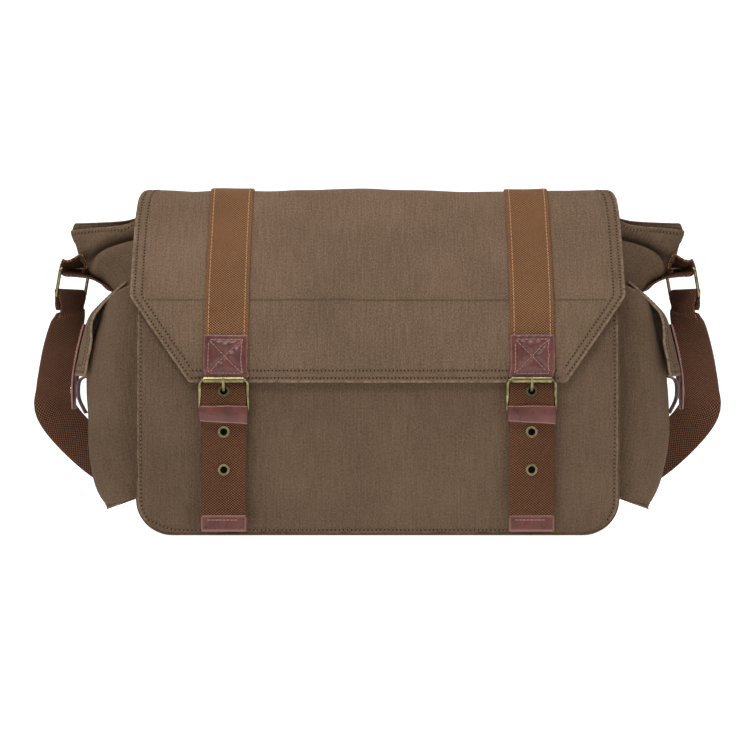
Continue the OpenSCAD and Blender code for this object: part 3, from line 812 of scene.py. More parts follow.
def build_side_and_base():
    """One long strip: down a side, along the base and up the other side, folded out at both tops."""
    gap = 0.0027
    fold = list(FOLD_Z + ladder(FOLD_H, 0.0019, fine_end=True))[::-1]
    flat = list(np.linspace(FOLD_Z, 0.030, 40))[1:]
    base_half = BODY_HALF - CORNER_R
    arc = [(base_half + CORNER_R * math.cos(a), CORNER_R - CORNER_R * math.sin(a))
           for a in np.radians(np.linspace(0, 90, 12))[1:]]
    right = [(BODY_HALF, z) for z in fold + flat] + arc
    base = [(x, 0.0) for x in np.linspace(base_half, -base_half, 70)[1:-1]]
    path = right + base + [(-x, z) for x, z in reversed(right)]
    # c runs from -1 at the front seam to 1 at the back seam, closer at the seams and the ridge
    extra = np.array([0.02, 0.04, 0.94, 0.97, 0.985])
    c = np.sort(np.concatenate([ladder(2.0, 0.025) - 1, -extra, extra]))
    ridge_r = 0.07
    ridge_h = math.sqrt(1 + ridge_r**2)
    shape = (ridge_h - np.sqrt(c**2 + ridge_r**2)) / (ridge_h - ridge_r)
    top_front = 0.2795 + 0.0045 * np.abs(c) + 0.015 * np.abs(c) ** 12
    top_back = 0.279 + 0.0075 * step_up(c, 0, 0.12) + 0.006 * c**2 + 0.0065 * np.abs(c) ** 8
    top = np.where(c < 0, top_front, top_back)
    grid = np.zeros((len(c), len(path), 3))
    for j, (x, z0) in enumerate(path):
        share = np.clip((z0 - FOLD_Z) / FOLD_H, 0, 1)
        z = np.where(share > 0, FOLD_Z + share * (top - FOLD_Z), z0)
        front, back = depth_at(FRONT_LINE, z) - gap, depth_at(BACK_LINE, z) - gap
        y = -front + (c + 1) / 2 * (front + back)
        middle = np.minimum(front, back)
        ridge = np.clip((z - FOLD_Z) / 0.020, 0, 1) * np.sqrt(np.maximum(FOLD_W**2 - middle**2, 0))
        out = abs(x) + ridge * shape * (share > 0)
        grid[:, j] = np.stack([math.copysign(1, x) * out, y, z], axis=1)
    cloth = Cloth(grid).facing(len(path) // 2, (0, 0, -1))
    p = cloth.p
    out, z = np.abs(p[:, :, 0]), p[:, :, 2]
    in_fold = step_up(z, 0.207, 0.222)
    crease, droop = crease_shape(out, z)
    hem_gap = np.minimum(cloth.v, cloth.v[:, -1:] - cloth.v)
    near_ridge = 1 - 0.85 * dip(c[:, None], 0.16) * np.ones_like(z)
    height = crease * in_fold * near_ridge
    height += 0.003 * dip(c[:, None], 0.14) * dip(z - 0.250, 0.010) * in_fold
    height += 0.0008 * (1 - step_up(hem_gap, 0.0095, 0.0105))
    height += soft_noise(out, z, 21, 0.012) * 0.0004 * dip(hem_gap - 0.004, 0.006)
    slack = step_up(z, 0.03, 0.06) * (1 - np.abs(c)[:, None] ** 4)
    height += soft_noise(p[:, :, 1] * 1.3, z + out, 22, 0.07) * 0.0011 * slack
    height -= 0.0005 * dip(hem_gap - 0.0032, 0.001)
    cloth.lift(height)
    cloth.p[:, :, 2] += droop * in_fold * near_ridge
    cloth.measure()
    placed(quilt("side_and_base", cloth, 0.0018, MAT["canvas"]), "bag",
           ("gusset_left", "gusset_right", "base_panel"))
    rows = [[(0.003, inset), (-0.003, inset)] for inset in (0.0034, -0.0034)]
    placed(stitched("ear_stitches", "dark_thread", cloth, rows, pitch=0.0036), "bag")


def crease_shape(out, z):
    """The slack fold below the hem of each ear, where the ring's tab pulls it down."""
    line = smooth([(218, 275.5), (240, 271.5), (258, 265), (268, 256), (272, 247)], 4) * MM
    gap = np.full(out.shape, 1.0)
    for p0, p1 in zip(line, line[1:]):
        d = p1 - p0
        t = np.clip(((out - p0[0]) * d[0] + (z - p0[1]) * d[1]) / (d @ d), 0, 1)
        gx, gz = out - (p0[0] + t * d[0]), z - (p0[1] + t * d[1])
        signed = np.hypot(gx, gz) * np.where(gz + gx * 0.6 > 0, 1, -1)
        gap = np.where(np.abs(signed) < np.abs(gap), signed, gap)
    valley = -0.0125 * np.exp(-(gap / 0.0046) ** 2)
    brow = 0.0046 * np.exp(-((gap - 0.0062) / 0.0042) ** 2)
    belly = 0.0072 * np.exp(-((gap + 0.0110) / 0.0065) ** 2)
    dent = -0.006 * np.exp(-((out - 0.236) / 0.014) ** 2 - ((z - 0.240) / 0.009) ** 2)
    droop = -0.0040 * np.exp(-((gap - 0.0040) / 0.0036) ** 2)
    return valley + brow + belly + dent, droop


# ---- side pockets ----


# Outlines of a pocket and what closes it, as distance from the middle and height
POCKET_LINE = [(251, 25), (257, 37), (262, 52), (267, 76), (270, 99), (271, 124), (270, 144), (266, 172),
               (258, 196), (253, 206)]
POCKET_FLAP_LINE = [(247.4, 221.2), (255.2, 212.4), (264.8, 201.8), (269.6, 190.2), (275.6, 167.5),
                    (279.6, 146)]
POCKET_STRIP_LINE = [(272.9, 191.5), (278.5, 168), (282.5, 146.5), (283.4, 131), (283, 114)]
POCKET_LOOP_LINE = [(270.6, 142.6), (276.5, 141), (279, 135.5), (278.4, 123), (272.2, 110)]
# Inner edge, foot and height of a pocket
POCKET_WALL = 0.2165
POCKET_FOOT = 0.025
POCKET_H = 0.179
POCKET_FLAP_W = 0.100
# The pocket's top edge: distance from the wall, then height
POCKET_RIM = [(0, 227.5), (10, 226), (20, 221.5), (30, 214), (42, 200), (50, 196.5)]


def build_pocket(side, name):
    """A bellied pocket with a rounded-off box section, its sole, side piping and seams."""
    table = smooth(POCKET_LINE, 5) * MM
    rim_table = np.array(POCKET_RIM) * MM
    rows = ladder(POCKET_H - 0.0075, 0.005, fine_end=True) + 0.0075
    rows = np.concatenate([[0, 0.0015, 0.003, 0.005], rows])
    angle = np.linspace(-math.pi / 2, math.pi / 2, 400)
    bulge = np.sign(np.cos(angle)) * np.abs(np.cos(angle)) ** 0.62
    width = np.sign(np.sin(angle)) * np.abs(np.sin(angle)) ** 0.62
    grid = []
    for r in rows:
        out = (np.interp(POCKET_FOOT + r, table[:, 1], table[:, 0]) - POCKET_WALL) * bulge
        low = 0.035 - out * 0.377
        high = np.interp(out, rim_table[:, 0], rim_table[:, 1])
        z = low + r / POCKET_H * (high - low)
        section = np.stack([side * (POCKET_WALL + out), 0.058 * width, z], axis=1)
        grid.append(along(section, np.linspace(0, lengths(section)[-1], 76)))
    cloth = Cloth(np.array(grid).transpose(1, 0, 2), flip=side < 0)
    left, right, low, high = cloth.edges()
    u, v = cloth.u, cloth.v
    wave = soft_noise(u, v, 31 + side, 0.09) * 0.0016 * step_up(np.minimum(left, right), 0.002, 0.03)
    wave += soft_noise(u, v, 35 + side, 0.03) * 0.0004
    wave -= 0.0005 * dip(low - 0.0045, 0.0012)
    wave += soft_noise(u, v * 0, 37, 0.012) * 0.0005 * dip(low - 0.002, 0.006)
    wave += 0.0007 * (1 - step_up(high, 0.011, 0.0125))
    cloth.lift(wave)
    placed(quilt(name + "_cloth", cloth, 0.002, MAT["canvas"]), "bag", (name,))
    bottom = [[(side * (POCKET_WALL + out), y * (1 - 0.12 * (out / 0.0345) ** 3), 0.0352 - out * 0.36)
               for out in np.linspace(0, 0.031, 14)] for y in np.linspace(-0.0565, 0.0565, 40)]
    sole = Cloth(bottom, flip=side > 0)
    placed(quilt(name + "_sole", sole, 0.0018, MAT["canvas"]), "bag")
    rim = cloth.p[3:-3, 0] - cloth.n[3:-3, 0] * 0.0012
    placed(tube(name + "_piping", even(rim, 0.003), 0.0014, MAT["piping"]), "bag")
    rows = [[(inset, 0.006), (inset, -0.006)] for inset in (0.003, -0.003)]
    placed(stitched(name + "_seams", "dark_thread", cloth, rows), "bag")


def build_pocket_flap(side, name):
    """A pocket's flap: hangs over the pocket and is tucked in at its two ends."""
    profile = even(smooth(POCKET_FLAP_LINE, 8) * MM, 0.001)
    total = lengths(profile)[-1]
    rows = along(profile, ladder(total, 0.003, True, True))
    down = lengths(rows) / total
    share = step_up(down, 0.05, 0.7)
    y = ladder(POCKET_FLAP_W, 0.0035, True, True) - POCKET_FLAP_W / 2
    grid = np.zeros((len(y), len(rows), 3))
    for i, b in enumerate(y):
        aside = abs(b) / (POCKET_FLAP_W / 2)
        rise = aside**1.4 * (1 - step_up(down, -0.1, 0.5))
        grid[i, :, 0] = side * (rows[:, 0] + 0.0024 - 0.0135 * aside**2.2 * share - 0.0205 * rise)
        grid[i, :, 1] = b
        grid[i, :, 2] = rows[:, 1] - 0.0015 * share * aside**2 + 0.0095 * rise
    cloth = Cloth(grid).facing(len(rows) // 2, (side, 0, 0))
    left, right, _, high = cloth.edges()
    edge = np.minimum(np.minimum(left, right), high)
    run = np.where(np.minimum(left, right) < high, cloth.v, cloth.u)
    wave = 0.0006 * (1 - step_up(edge, 0.0105, 0.0118))
    wave += soft_noise(run, run * 0, 41 + side, 0.011) * 0.0005 * dip(edge - 0.004, 0.006)
    wave -= 0.0006 * (dip(edge - 0.003, 0.001) + dip(edge - 0.009, 0.001))
    wave += soft_noise(cloth.u, cloth.v, 43 + side, 0.06) * 0.0008 * step_up(edge, 0.01, 0.03)
    cloth.lift(wave)
    placed(quilt(name + "_cloth", cloth, 0.0024, MAT["flap"]), name, (name,))
    rows = [[(inset, 0.004), (inset, -inset), (POCKET_FLAP_W - inset, cloth.length() - inset),
             (POCKET_FLAP_W + 0.001 - inset, 0.004)] for inset in (0.003, 0.009)]
    placed(stitched(name + "_seams", "dark_thread", cloth, rows), name)


def leather_band(name, line, width, thick, side, body):
    """A band of leather seen on edge from the front: the line is its inner face, in x and z."""
    profile = even(smooth(line, 6) * MM, 0.0025)
    centres = np.stack([side * profile[:, 0], profile[:, 0] * 0, profile[:, 1]], axis=1)
    cloth = ribbon(centres, (0, 1, 0), width).facing(len(profile) // 2, (side, 0, 0)).lift(thick)
    band = quilt(name + "_leather", cloth, thick, MAT["matt_leather"], hem=0.0006)
    placed(band, body, (name,))
    return cloth


def build_pocket_leather(side, word):
    """The strip on a pocket's flap and the loop on the pocket that holds it."""
    flap = "pocket_flap_" + word
    strip = "pocket_strip_" + word
    cloth = leather_band(strip, POCKET_STRIP_LINE, 0.024, 0.0018, side, flap)
    rows = [[(0.003, 0.003), (0.003, 0.036), (0.021, 0.036), (0.021, 0.003)]]
    placed(stitched(strip + "_stitches", "pink_thread", cloth, rows, 0.0034), flap)
    leather_band("pocket_loop_" + word, POCKET_LOOP_LINE, 0.020, 0.0015, side, "bag")


# ---- tabs and shoulder strap ----


RING_TOP = np.array([283.0, 0, 244])
RING_LOW = np.array([287.58, 2.87, 218.57])
RING_WAY = np.array([-0.530, 0.848, 0])
# The tab round the top bar of the ring: along the ear's slope, then square to it
TAB_LINE = [(-12, 2.5), (-8, 8), (-2, 12.5), (0.7, 13.9), (2.8, 10.7), (3.7, 6.6), (3.3, 2.9), (2.6, 0),
            (1.85, -1.85), (0, -2.6), (-4, -2.0), (-12, 0.2), (-24, 2.4), (-41, 3.2)]
# The strap from its sewn end in the ring to the middle of the back, and the way its width points
STRAP_ROUTE = [(288.2, 3, 206), (296, 21.5, 181), (303, 46, 154), (308, 62, 131), (310, 71, 111),
               (292, 80, 86), (263, 89, 60), (235, 95, 47), (200, 98, 36), (150, 97, 28), (100, 97, 25),
               (50, 97, 25), (20, 97, 25)]
STRAP_ACROSS = [(-0.55, 0.83, 0), (-0.85, 0.5, 0.2), (-0.93, 0.35, 0.04), (-0.98, 0.15, 0.05),
                (-0.93, 0.05, 0.36), (-0.76, 0, 0.65), (-0.64, 0, 0.77), (-0.41, 0, 0.91), (-0.12, 0, 0.99),
                (0, 0, 1), (0, 0, 1), (0, 0, 1), (0, 0, 1)]


def flip_x(points, side):
    """Points in millimetres on one side of the bag, as metres."""
    return np.array(points, float) * np.array([side, 1, 1]) * MM


def build_tab(side, word):
    """Webbing from the ridge of the ear round the top bar of the ring and back under itself."""
    rise = math.radians(33.2)
    out = np.array([math.cos(rise), 0, math.sin(rise)])
    up = np.array([-math.sin(rise), 0, math.cos(rise)])
    path = smooth(TAB_LINE, 4)
    straight = np.maximum(step_up(-path[:, 0], 5, 24), step_up(path[:, 1], 4, 11))[:, None]
    across = RING_WAY * np.array([1, 1, 0]) * (1 - straight) + np.array([0, 1, 0]) * straight
    centres = RING_TOP + path[:, :1] * out + path[:, 1:] * up + np.array([0, -1.75, 0]) * straight
    hidden = 1 - step_up(lengths(path), 8, 17)
    width = 0.0355 - 0.005 * straight[:, 0] - 0.018 * hidden
    cloth = ribbon(flip_x(centres, side), across * np.array([side, 1, 1]), width)
    cloth = cloth.facing(8, (0, 0, 1)).lift(TAB_T / 2)
    name = "side_tab_" + word
    placed(quilt(name + "_webbing", cloth, TAB_T, MAT["belt"], hem=0.0025), "bag", (name,))
    rows = [[(0.003, 0.003), (0.003, 0.028), (0.030, 0.028), (0.030, 0.003)]]
    placed(stitched(name + "_stitches", "tan_thread", cloth, rows, 0.0036), "bag")


def build_strap(side, word):
    """Half of the shoulder strap; the other pieces of its cord are given."""
    line = flip_x(smooth(STRAP_ROUTE, 10), side)
    s = lengths(line)
    stations = np.linspace(0, s[-1], round(s[-1] / 0.004) + 1)
    points = along(line, stations)
    turned = smooth(STRAP_ACROSS, 10) * np.array([side, 1, 1])
    across = np.stack([np.interp(stations, s, turned[:, k]) for k in range(3)], axis=1)
    width = WEB_W - 0.006 * (1 - step_up(lengths(points), 0, 0.010))
    cloth = ribbon(points, across, width, cells=12).facing(2, (side * 0.6, -0.8, 0))
    cloth.lift(0.5 * WEB_T + soft_noise(cloth.u, cloth.v, 51 + side, 0.05) * 0.0003)
    body = quilt("shoulder_strap_" + word + "_webbing", cloth, WEB_T, MAT["strap"], hem=0.003)
    placed(body, "bag", ("shoulder_strap_" + word,))
    build_strap_end(side, word, points, across, cloth)


def build_strap_end(side, word, points, across, strap):
    """The strap's end: over the ring's lower bar and back down inside, where it is sewn."""
    way = RING_WAY * np.array([side, 1, 1])
    bar = flip_x([RING_LOW], side)[0]
    face = strap.n[strap.middle, 1]
    face = unit(face - way * (face @ way))
    up = np.array([0, 0, 1.0])
    top = points[0]
    rows = [(top, across[0])]
    for drop in (0.0085, 0.0055):
        share = 1 - drop / (bar[2] - top[2])
        centre = bar * share + top * (1 - share)
        rows.append((np.array([centre[0], centre[1], bar[2] - drop]) - face * 0.0020, way))
    for angle in (180, 150, 110, 90, 70, 30, 0):
        a = math.radians(angle)
        rows.append((bar + face * 0.0029 * math.cos(a) + up * (0.0028 + 0.0029 * math.sin(a)), way))
    rows.append((bar - up * 0.0055 + face * 0.0026, way))
    for k in range(2):
        rows.append((points[k] + strap.n[strap.middle, k] * 0.0030, across[k]))
    centres, ways = smooth([r[0] for r in rows], 3), smooth([r[1] for r in rows], 3)
    width = WEB_W - 0.0004 - 0.007 * step_up(lengths(centres) / lengths(centres)[-1], 0.6, 0.85)
    cloth = ribbon(centres, ways, width, cells=8).facing(-3, face).lift(TAB_T / 2)
    piece = quilt("strap_end_" + word + "_webbing", cloth, TAB_T, MAT["strap"], hem=0.003)
    start, end = (bar[0], bar[1], 0.2145), (bar[0], bar[1], 0.2060)
    bent(piece, "ring_" + word, "bag", start, end, "strap_webbing", ("strap_end_" + word,))


def build_strap_return():
    """The webbing doubled back from the slider behind the bag."""
    low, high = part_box("strap_return")
    z = (low.z + high.z) / 2
    centres = [(x, high.y - 0.0002, z) for x in np.linspace(low.x - 0.004, high.x, 12)]
    cloth = ribbon(centres, (0, 0, 1), WEB_W).facing(len(centres) // 2, (0, 1, 0))
    piece = quilt("strap_return_webbing", cloth, TAB_T, MAT["strap"], hem=0.003)
    bent(piece, "bag", "slider", (low.x, 0, 0), (high.x, 0, 0), "strap_webbing", ("strap_return",))
    return piece


# ---- flap ----


def flap_profile():
    """The outside of the flap in (y, z)."""
    inner = smooth(FLAP_LINE, 10) * MM
    t = unit(np.gradient(inner, axis=0))
    aside = FLAP_T * np.stack([t[:, 1], -t[:, 0]], axis=1)
    middle = len(inner) // 2
    return inner + aside if aside[middle, 1] > 0 else inner - aside


def half_flap(stations, profile):
    """The plain outside of the flap at the given distances along its profile."""
    rows = along(profile, stations)
    table = np.array(FLAP_HALF) * MM
    half = np.interp(rows[:, 1], table[:, 0], table[:, 1])
    close = np.array(CLOSE) / 0.220
    share = np.concatenate([close, np.linspace(0.095, 1.905, 130), 2 - close[::-1]]) - 1
    x = share[:, None] * half[None]
    y = np.broadcast_to(rows[:, 0], x.shape)
    z = np.broadcast_to(rows[:, 1], x.shape)
    return Cloth(np.stack([x, y, z], axis=2))


def flap_heights(cloth, stations, total, seam):
    """Hems, puckers, slack and cross seam of the whole flap, so that its halves agree where they meet."""
    x = cloth.p[:, :, 0]
    s = np.broadcast_to(stations, x.shape)
    left, right = cloth.u, cloth.u[-1] - cloth.u
    side = np.minimum(left, right)
    bottom, top = total - s, s
    edge = np.minimum(side, np.minimum(bottom, top))
    run = np.where(side < bottom, s, x)
    wave = 0.0004 * (1 - step_up(edge, 0.0118, 0.0132))
    wave += soft_noise(run, run * 0, 61, 0.012) * 0.0006 * dip(edge - 0.0045, 0.006)
    ripple = np.sin(run * 2 * math.pi / 0.0081 + 2 * soft_noise(run, run * 0, 62, 0.06))
    wave += ripple * 0.00028 * dip(edge - 0.006, 0.0035)
    wave -= 0.00035 * (dip(edge - 0.003, 0.0012) + dip(edge - 0.0098, 0.0012))
    inner = step_up(edge, 0.010, 0.045)
    wave += soft_noise(x, s, 63, 0.15) * 0.0016 * inner
    wave += soft_noise(x, s, 64, 0.045) * 0.0006 * inner
    wave += 0.0003 * (step_up(s, seam, seam + 0.001) - step_up(s, seam + 0.010, seam + 0.014))
    wave -= 0.0004 * dip(s - seam - 0.003, 0.0010)
    wave += soft_noise(x, x * 0, 65, 0.012) * 0.00035 * dip(s - seam - 0.004, 0.006)
    return wave


def build_flap():
    """The flap in two halves that meet at its peak."""
    profile = flap_profile()
    s = lengths(profile)
    total = s[-1]
    peak = s[np.argmax(profile[:, 1])]
    down = profile[:, 0] < -0.02
    seam = float(np.interp(-FLAP_SEAM_Z, -profile[down][:, 1], s[down]))
    rear = ladder(peak, 0.0033, fine_start=True)
    rear = np.concatenate([rear[:-1], [peak - 0.0016, peak - 0.0008, peak]])
    front = peak + ladder(total - peak, 0.0030, fine_end=True)
    front = np.concatenate([[peak, peak + 0.0008, peak + 0.0016], front[1:]])
    rear_way = (0, -0.0195, 0.0225)
    front_way = (0, -0.020, -0.0268)
    halves = (("rear", rear, 5, (0, 1, 0.2), ("bag", "flap_top"), REAR_FOLD, rear_way, ("flap_rear",)),
              ("front", front, -5, (0, -1, 0.2), ("flap_top", "flap_front"), FRONT_FOLD, front_way,
               ("flap_front", "flap_top")))
    made = []
    for word, stations, column, outward, bodies, hinge, way, nodes in halves:
        cloth = half_flap(stations, profile).facing(column, outward)
        cloth.lift(flap_heights(cloth, stations, total, seam))
        reach = unit(np.array(way)) * 0.009
        span = (*bodies, tuple(hinge - reach), tuple(hinge + reach))
        joined = "end" if word == "rear" else "start"
        piece = quilt("flap_" + word + "_cloth", cloth, FLAP_T, MAT["flap"], joined=joined)
        bent(piece, *span, "flap_canvas", nodes)
        rows = []
        for inset in (0.003, 0.0098):
            if word == "rear":
                top, low, across = cloth.length(), inset, inset
            else:
                top, low, across = 0, -inset, cloth.length() - inset
            rows += [[(a, top), (a, low)] for a in (inset, -inset)]
            rows += [[(inset, across), (-inset, across)]]
        if word == "front":
            at = seam - peak + 0.003
            row = [(0.012, at), (-0.012, at)]
            # The darker thread paints the shade in the cross seam's groove.
            cross = stitched("flap_cross_seam", "seam_thread_painted_shade", cloth, [row], 0.0034, 0.00034, holes=False)
            bent(cross, *span, "flap_canvas")
        seams = stitched("flap_" + word + "_seams", "dark_thread", cloth, rows, 0.0034, 0.0003)
        bent(seams, *span, "flap_canvas")
        made.append((word, cloth, span, joined))
    for half in made:
        build_flap_webbing(*half)


def on_flap(cloth, x, b, lift):
    """The point of the flap at x, b along it, raised by lift."""
    point, normal = cloth.spot(half_width_at(cloth, b) + x, b)
    return point + normal * lift


def half_width_at(cloth, b):
    return float(np.interp(b, cloth.v[cloth.middle], cloth.u[cloth.middle]))


def strap_centre(z):
    """Distance of the flap's straps from the middle: they lean inwards a little towards the top."""
    return STRAP_X - (0.0016 / 0.170) * (z - 0.143)


def band_on_flap(cloth, side, stations, width, lift, thick):
    """A band lying on the flap along one of its straps."""
    half = [0, 0.0035, 0.007, 0.011] + [width / 2 - inset for inset in (0.004, 0.002, 0.0008, 0)]
    offsets = np.array([-x for x in half[:0:-1]] + half)
    grid = np.zeros((len(offsets), len(stations), 3))
    for j, b in enumerate(stations):
        z = cloth.spot(half_width_at(cloth, b), b)[0][2]
        z_strap = z if cloth.p[cloth.middle, -1][1] < -0.05 else 0.315
        for i, off in enumerate(offsets):
            grid[i, j] = on_flap(cloth, side * strap_centre(z_strap) + off, b, lift + thick)
    return Cloth(grid, flip=cloth.flip)


def build_flap_webbing(word, cloth, span, joined):
    """The straps' webbing on one half of the flap, and on the front half their leather patches."""
    if word == "rear":
        stop, first = cloth.length(), 0.004
    else:
        stop, first = station_at_z(cloth, 0.1436), 0.001
    for side_word, side in SIDES.items():
        band = band_on_flap(cloth, side, ladder(stop, 0.0033), WEB_W, 0.0002, WEB_T)
        name = "webbing_" + word + "_" + side_word
        piece = quilt(name + "_cloth", band, WEB_T, MAT["webbing"], 0.0028, joined, hem_full=0.7)
        nodes = ("webbing_rear", "webbing_top") if side < 0 else ()
        bent(piece, *span, "webbing", (name,) if word == "front" else nodes)
        rows = [[(a, first), (a, -0.001)] for a in (0.0028, -0.0028)]
        threads = stitched(name + "_stitches", "tan_thread", band, rows, 0.0042, holes=False)
        bent(threads, *span, "webbing")
        if word == "front":
            build_patch(cloth, side, side_word)


def station_at_z(cloth, z):
    """How far along the front half of the flap a height lies."""
    rows = cloth.p[cloth.middle]
    front = rows[:, 1] < -0.02
    return float(np.interp(-z, -rows[front][:, 2], cloth.v[cloth.middle][front]))


def build_patch(flap, side, word):
    """A leather patch over the end of the strap, sewn in a box with a cross, its fields puffed up."""
    top = station_at_z(flap, 0.180)
    height = station_at_z(flap, 0.1438) - top
    rim = np.array([0, 0.0003, 0.0007])
    across = np.concatenate([rim, np.linspace(0.0014, WEB_W - 0.0014, 25), WEB_W - rim[::-1]])
    down = np.concatenate([rim, 0.0014 + ladder(height - 0.0028, 0.0014), height - rim[::-1]])
    inset = 0.0036
    grid = np.zeros((len(across), len(down), 3))
    for j, v in enumerate(down):
        s = top + v
        z = flap.spot(half_width_at(flap, s), s)[0][2]
        for i, u in enumerate(across):
            off = u - WEB_W / 2
            px = np.clip((u - inset) / (WEB_W - 2 * inset), 0, 1)
            py = np.clip((v - inset) / (height - 2 * inset), 0, 1)
            from_cross = min(abs(px - py), abs(px + py - 1)) * height * 0.7
            from_edge = min(u, WEB_W - u, v, height - v)
            from_box = from_edge - inset
            puff = 0.0024 * (1 - math.exp(-max(min(from_cross, from_box), 0) / 0.0034))
            puff += 0.0004 * math.exp(-((from_edge - 0.0018) / 0.0010) ** 2)
            puff -= 0.0003 * math.exp(-(from_box / 0.0006) ** 2)
            puff += 0.00025 * math.sin(off * 900 + 2 * math.sin(s * 500 + side))
            grid[i, j] = on_flap(flap, side * strap_centre(z) + off, s, WEB_T + 0.0022 + puff)
    cloth = Cloth(grid, flip=flap.flip)
    name = "leather_patch_" + word
    cover = quilt(name + "_cover", cloth, 0.0019, MAT["leather"], hem=0.0004, hem_full=0.45)
    placed(cover, "flap_front", (name,))
    right, low = cloth.u[-1, 5] - inset, cloth.length() - inset
    box = [(inset, inset), (right, inset), (right, low), (inset, low)]
    rows = [box + box[:1], box[0::2], box[1::2]]
    threads = stitched(name + "_stitches", "pink_thread", cloth, rows, 0.0035, holes=False)
    placed(threads, "flap_front")


# ---- buckles ----


# The back faces of the webbing and leather at a buckle, as (y, z)
BELT_LINE = [(-91.1, 143), (-92.2, 136), (-94, 128), (-97.2, 116.5), (-97.2, 108.5), (-94.2, 103),
             (-93.5, 101.2), (-93.5, 99.4), (-92.9, 80), (-92.7, 50), (-93.2, 18.3)]
TIP_LINE = [(-93.2, 18), (-93.6, 6)]
BASE_STRAP_LINE = [(-88.5, 66.4), (-88.6, 85), (-88.7, 103), (-89.6, 109), (-90.3, 112), (-91.2, 114.2),
                   (-93, 114.9), (-94.8, 114.2), (-95.7, 112), (-94.9, 109.6), (-92.6, 106.5), (-90.7, 102),
                   (-90.4, 85), (-90.4, 66.4)]


def hanging(side, line, width, lift, steps=6, spread=0.0025):
    """A band in front of the bag, along a line of (y, z) points and lifted off it."""
    profile = even(smooth(line, steps) * MM, spread)
    centres = np.stack([np.full(len(profile), side * STRAP_X), profile[:, 0], profile[:, 1]], axis=1)
    return ribbon(centres, (1, 0, 0), width).facing(1, (0, -1, 0)).lift(lift)


def build_belt(side, word):
    """The webbing through a buckle, its tail with a leather tip, and the base strap behind it."""
    tail = "strap_tail_" + word
    cloth = hanging(side, BELT_LINE, WEB_W, WEB_T)
    cloth.lift(soft_noise(cloth.u, cloth.v, 71 + side, 0.05) * 0.0004 * step_up(cloth.v, 0.05, 0.08))
    belt = quilt("belt_" + word + "_webbing", cloth, WEB_T, MAT["belt"], hem=0.0024, hem_full=0.7)
    x, y, z = JOINTS[tail + "_swing"]["pos_m"]
    start, end = (x, y, z + 0.004), (x, y, z - 0.004)
    bent(belt, "flap_front", tail, start, end, "webbing", ("belt_" + word, "tail_" + word))

    name = "tail_tip_" + word
    tip = hanging(side, TIP_LINE, WEB_W, 0.0026, steps=8, spread=0.0012)
    piece = quilt(name + "_leather", tip, TIP_T, MAT["leather"], hem=0.0004, hem_full=0.45)
    placed(piece, tail, (name,))
    rows = [[(0.003, 0.0030), (-0.003, 0.0030)]]
    placed(stitched(name + "_stitches", "pink_thread", tip, rows, 0.0034, holes=False), tail)

    for z, body in ((0.130, "flap_front"), (0.094, tail), (0.060, tail)):
        build_eyelet_shade("eyelet_shade_%s_%d" % (word, round(z * 1000)), cloth, z, body)

    name = "base_strap_" + word
    base = hanging(side, BASE_STRAP_LINE, WEB_W - 0.0008, 0.0008)
    piece = quilt(name + "_webbing", base, 0.0016, MAT["belt"], hem=0.0024)
    placed(piece, "flap_front", (name,))


def build_eyelet_shade(name, belt, z, body):
    """Painted shade inside an eyelet: a dark disc just off the belt."""
    heights = belt.p[belt.middle][:, 2]
    point, n = belt.spot(WEB_W / 2, float(np.interp(-z, -heights, belt.v[belt.middle])))
    sideways = np.array([1, 0, 0])
    down = np.cross(n, sideways)
    circle = [point + n * 0.00025 + 0.0034 * (math.cos(t) * down + math.sin(t) * sideways)
              for t in np.linspace(0, 2 * math.pi, 24, endpoint=False)]
    placed(make_piece(name, circle, [tuple(range(len(circle)))], MAT["dark"]), body)


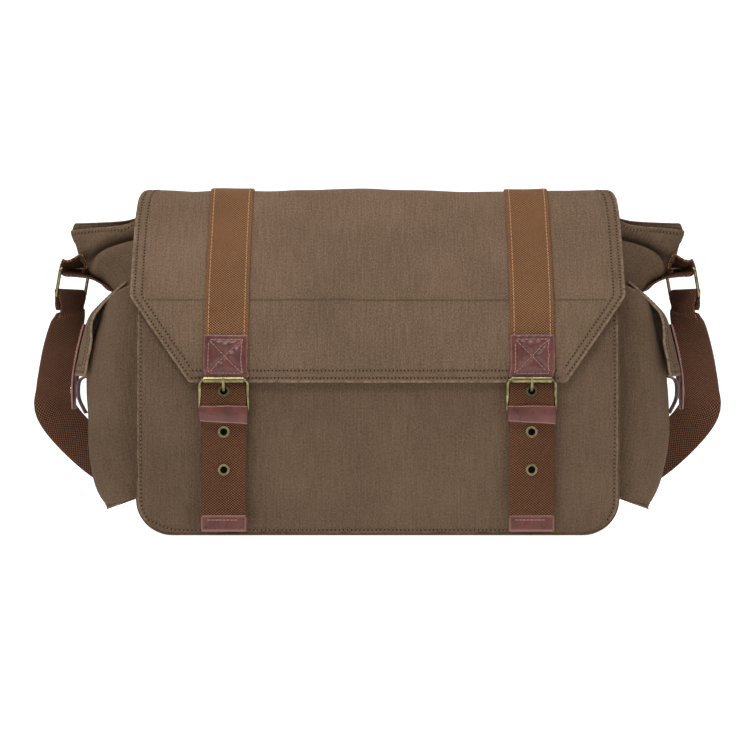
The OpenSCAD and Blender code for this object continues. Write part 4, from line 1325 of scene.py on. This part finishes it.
def build_keeper(side, word):
    """A leather loop round the belt, a little out of true."""
    w, front, back = 21.5, -100.5, -86.3
    r = 2.2
    corners = [(0, back), (w - r - 1, back), (w - r * 0.3, back - r * 0.3), (w - 0.6, back - r),
               (w - 0.6, front + r), (w - r * 0.3 - 0.3, front + r * 0.3), (w - r - 1, front),
               (0, front - 0.6)]
    loop = corners + [(-x, y) for x, y in corners[-2::-1]]
    line = even(smooth(loop, 5) * MM, 0.0014)
    share = step_up(-line[:, 1], 0.089, 0.0985)
    low = 0.1030 - 0.0014 * share * line[:, 0] / 0.0215 + 0.0002 * share * np.sin(line[:, 0] * 160)
    high = 0.1085 + 0.0085 * share + 0.0002 * share * np.sin(line[:, 0] * 190 + 1)
    closeness = np.array([0, 0.05, 0.13, 0.25, 0.4, 0.5, 0.6, 0.75, 0.87, 0.95, 1])
    grid = np.zeros((len(closeness), len(line), 3))
    for i, c in enumerate(closeness):
        grid[i] = np.stack([side * STRAP_X + line[:, 0], line[:, 1], low + (high - low) * c], axis=1)
    cloth = Cloth(grid).facing(len(line) // 2, (0, -1, 0))
    bow = 0.0026 * step_up(0.0205 - np.abs(line[:, 0]), 0, 0.0205) * share
    puff = 0.0007 * np.sin(np.pi * closeness)[:, None] * share[None] + bow[None]
    puff += soft_noise(cloth.v, cloth.u, 81 + side, 0.018) * 0.0004 * share[None]
    cloth.lift(0.0007 + puff)
    name = "keeper_" + word
    piece = quilt(name + "_leather", cloth, 0.0014, MAT["leather"], hem=0.0005, hem_full=0.6)
    placed(piece, "flap_front", (name,))


# ---- metal and the whole ----


def finish_cad_nodes():
    """Parts that keep their own shape take their finish here."""
    metal = ["snap_sockets", "snap_studs", "belt_eyelets", "strap_link", "strap_slider"]
    for kind in ("buckle_frame_", "roller_", "prong_", "ring_", "tail_eyelets_", "pocket_snap_"):
        metal += [kind + word for word in SIDES]
    looks = {name: "brass" for name in metal}
    looks.update({"lining": "lining", "base_board": "board", "base_tabs": "leather"})
    for name, look in looks.items():
        o = frame["nodes"][name]
        o.data.materials.clear()
        o.data.materials.append(MAT[look])
        o.data.polygons.foreach_set("use_smooth", [True] * len(o.data.polygons))
        o.data.set_sharp_from_angle(angle=math.radians(38))


make_materials()
camera_and_light()
finish_cad_nodes()
returned = build_strap_return()
build_strap(-1, "left")
build_strap(1, "right")
build_panels()
build_side_and_base()
for word, side in SIDES.items():
    build_pocket(side, "side_pocket_" + word)
    build_pocket_flap(side, "pocket_flap_" + word)
    build_pocket_leather(side, word)
    build_tab(side, word)
    build_belt(side, word)
    build_keeper(side, word)
build_flap()
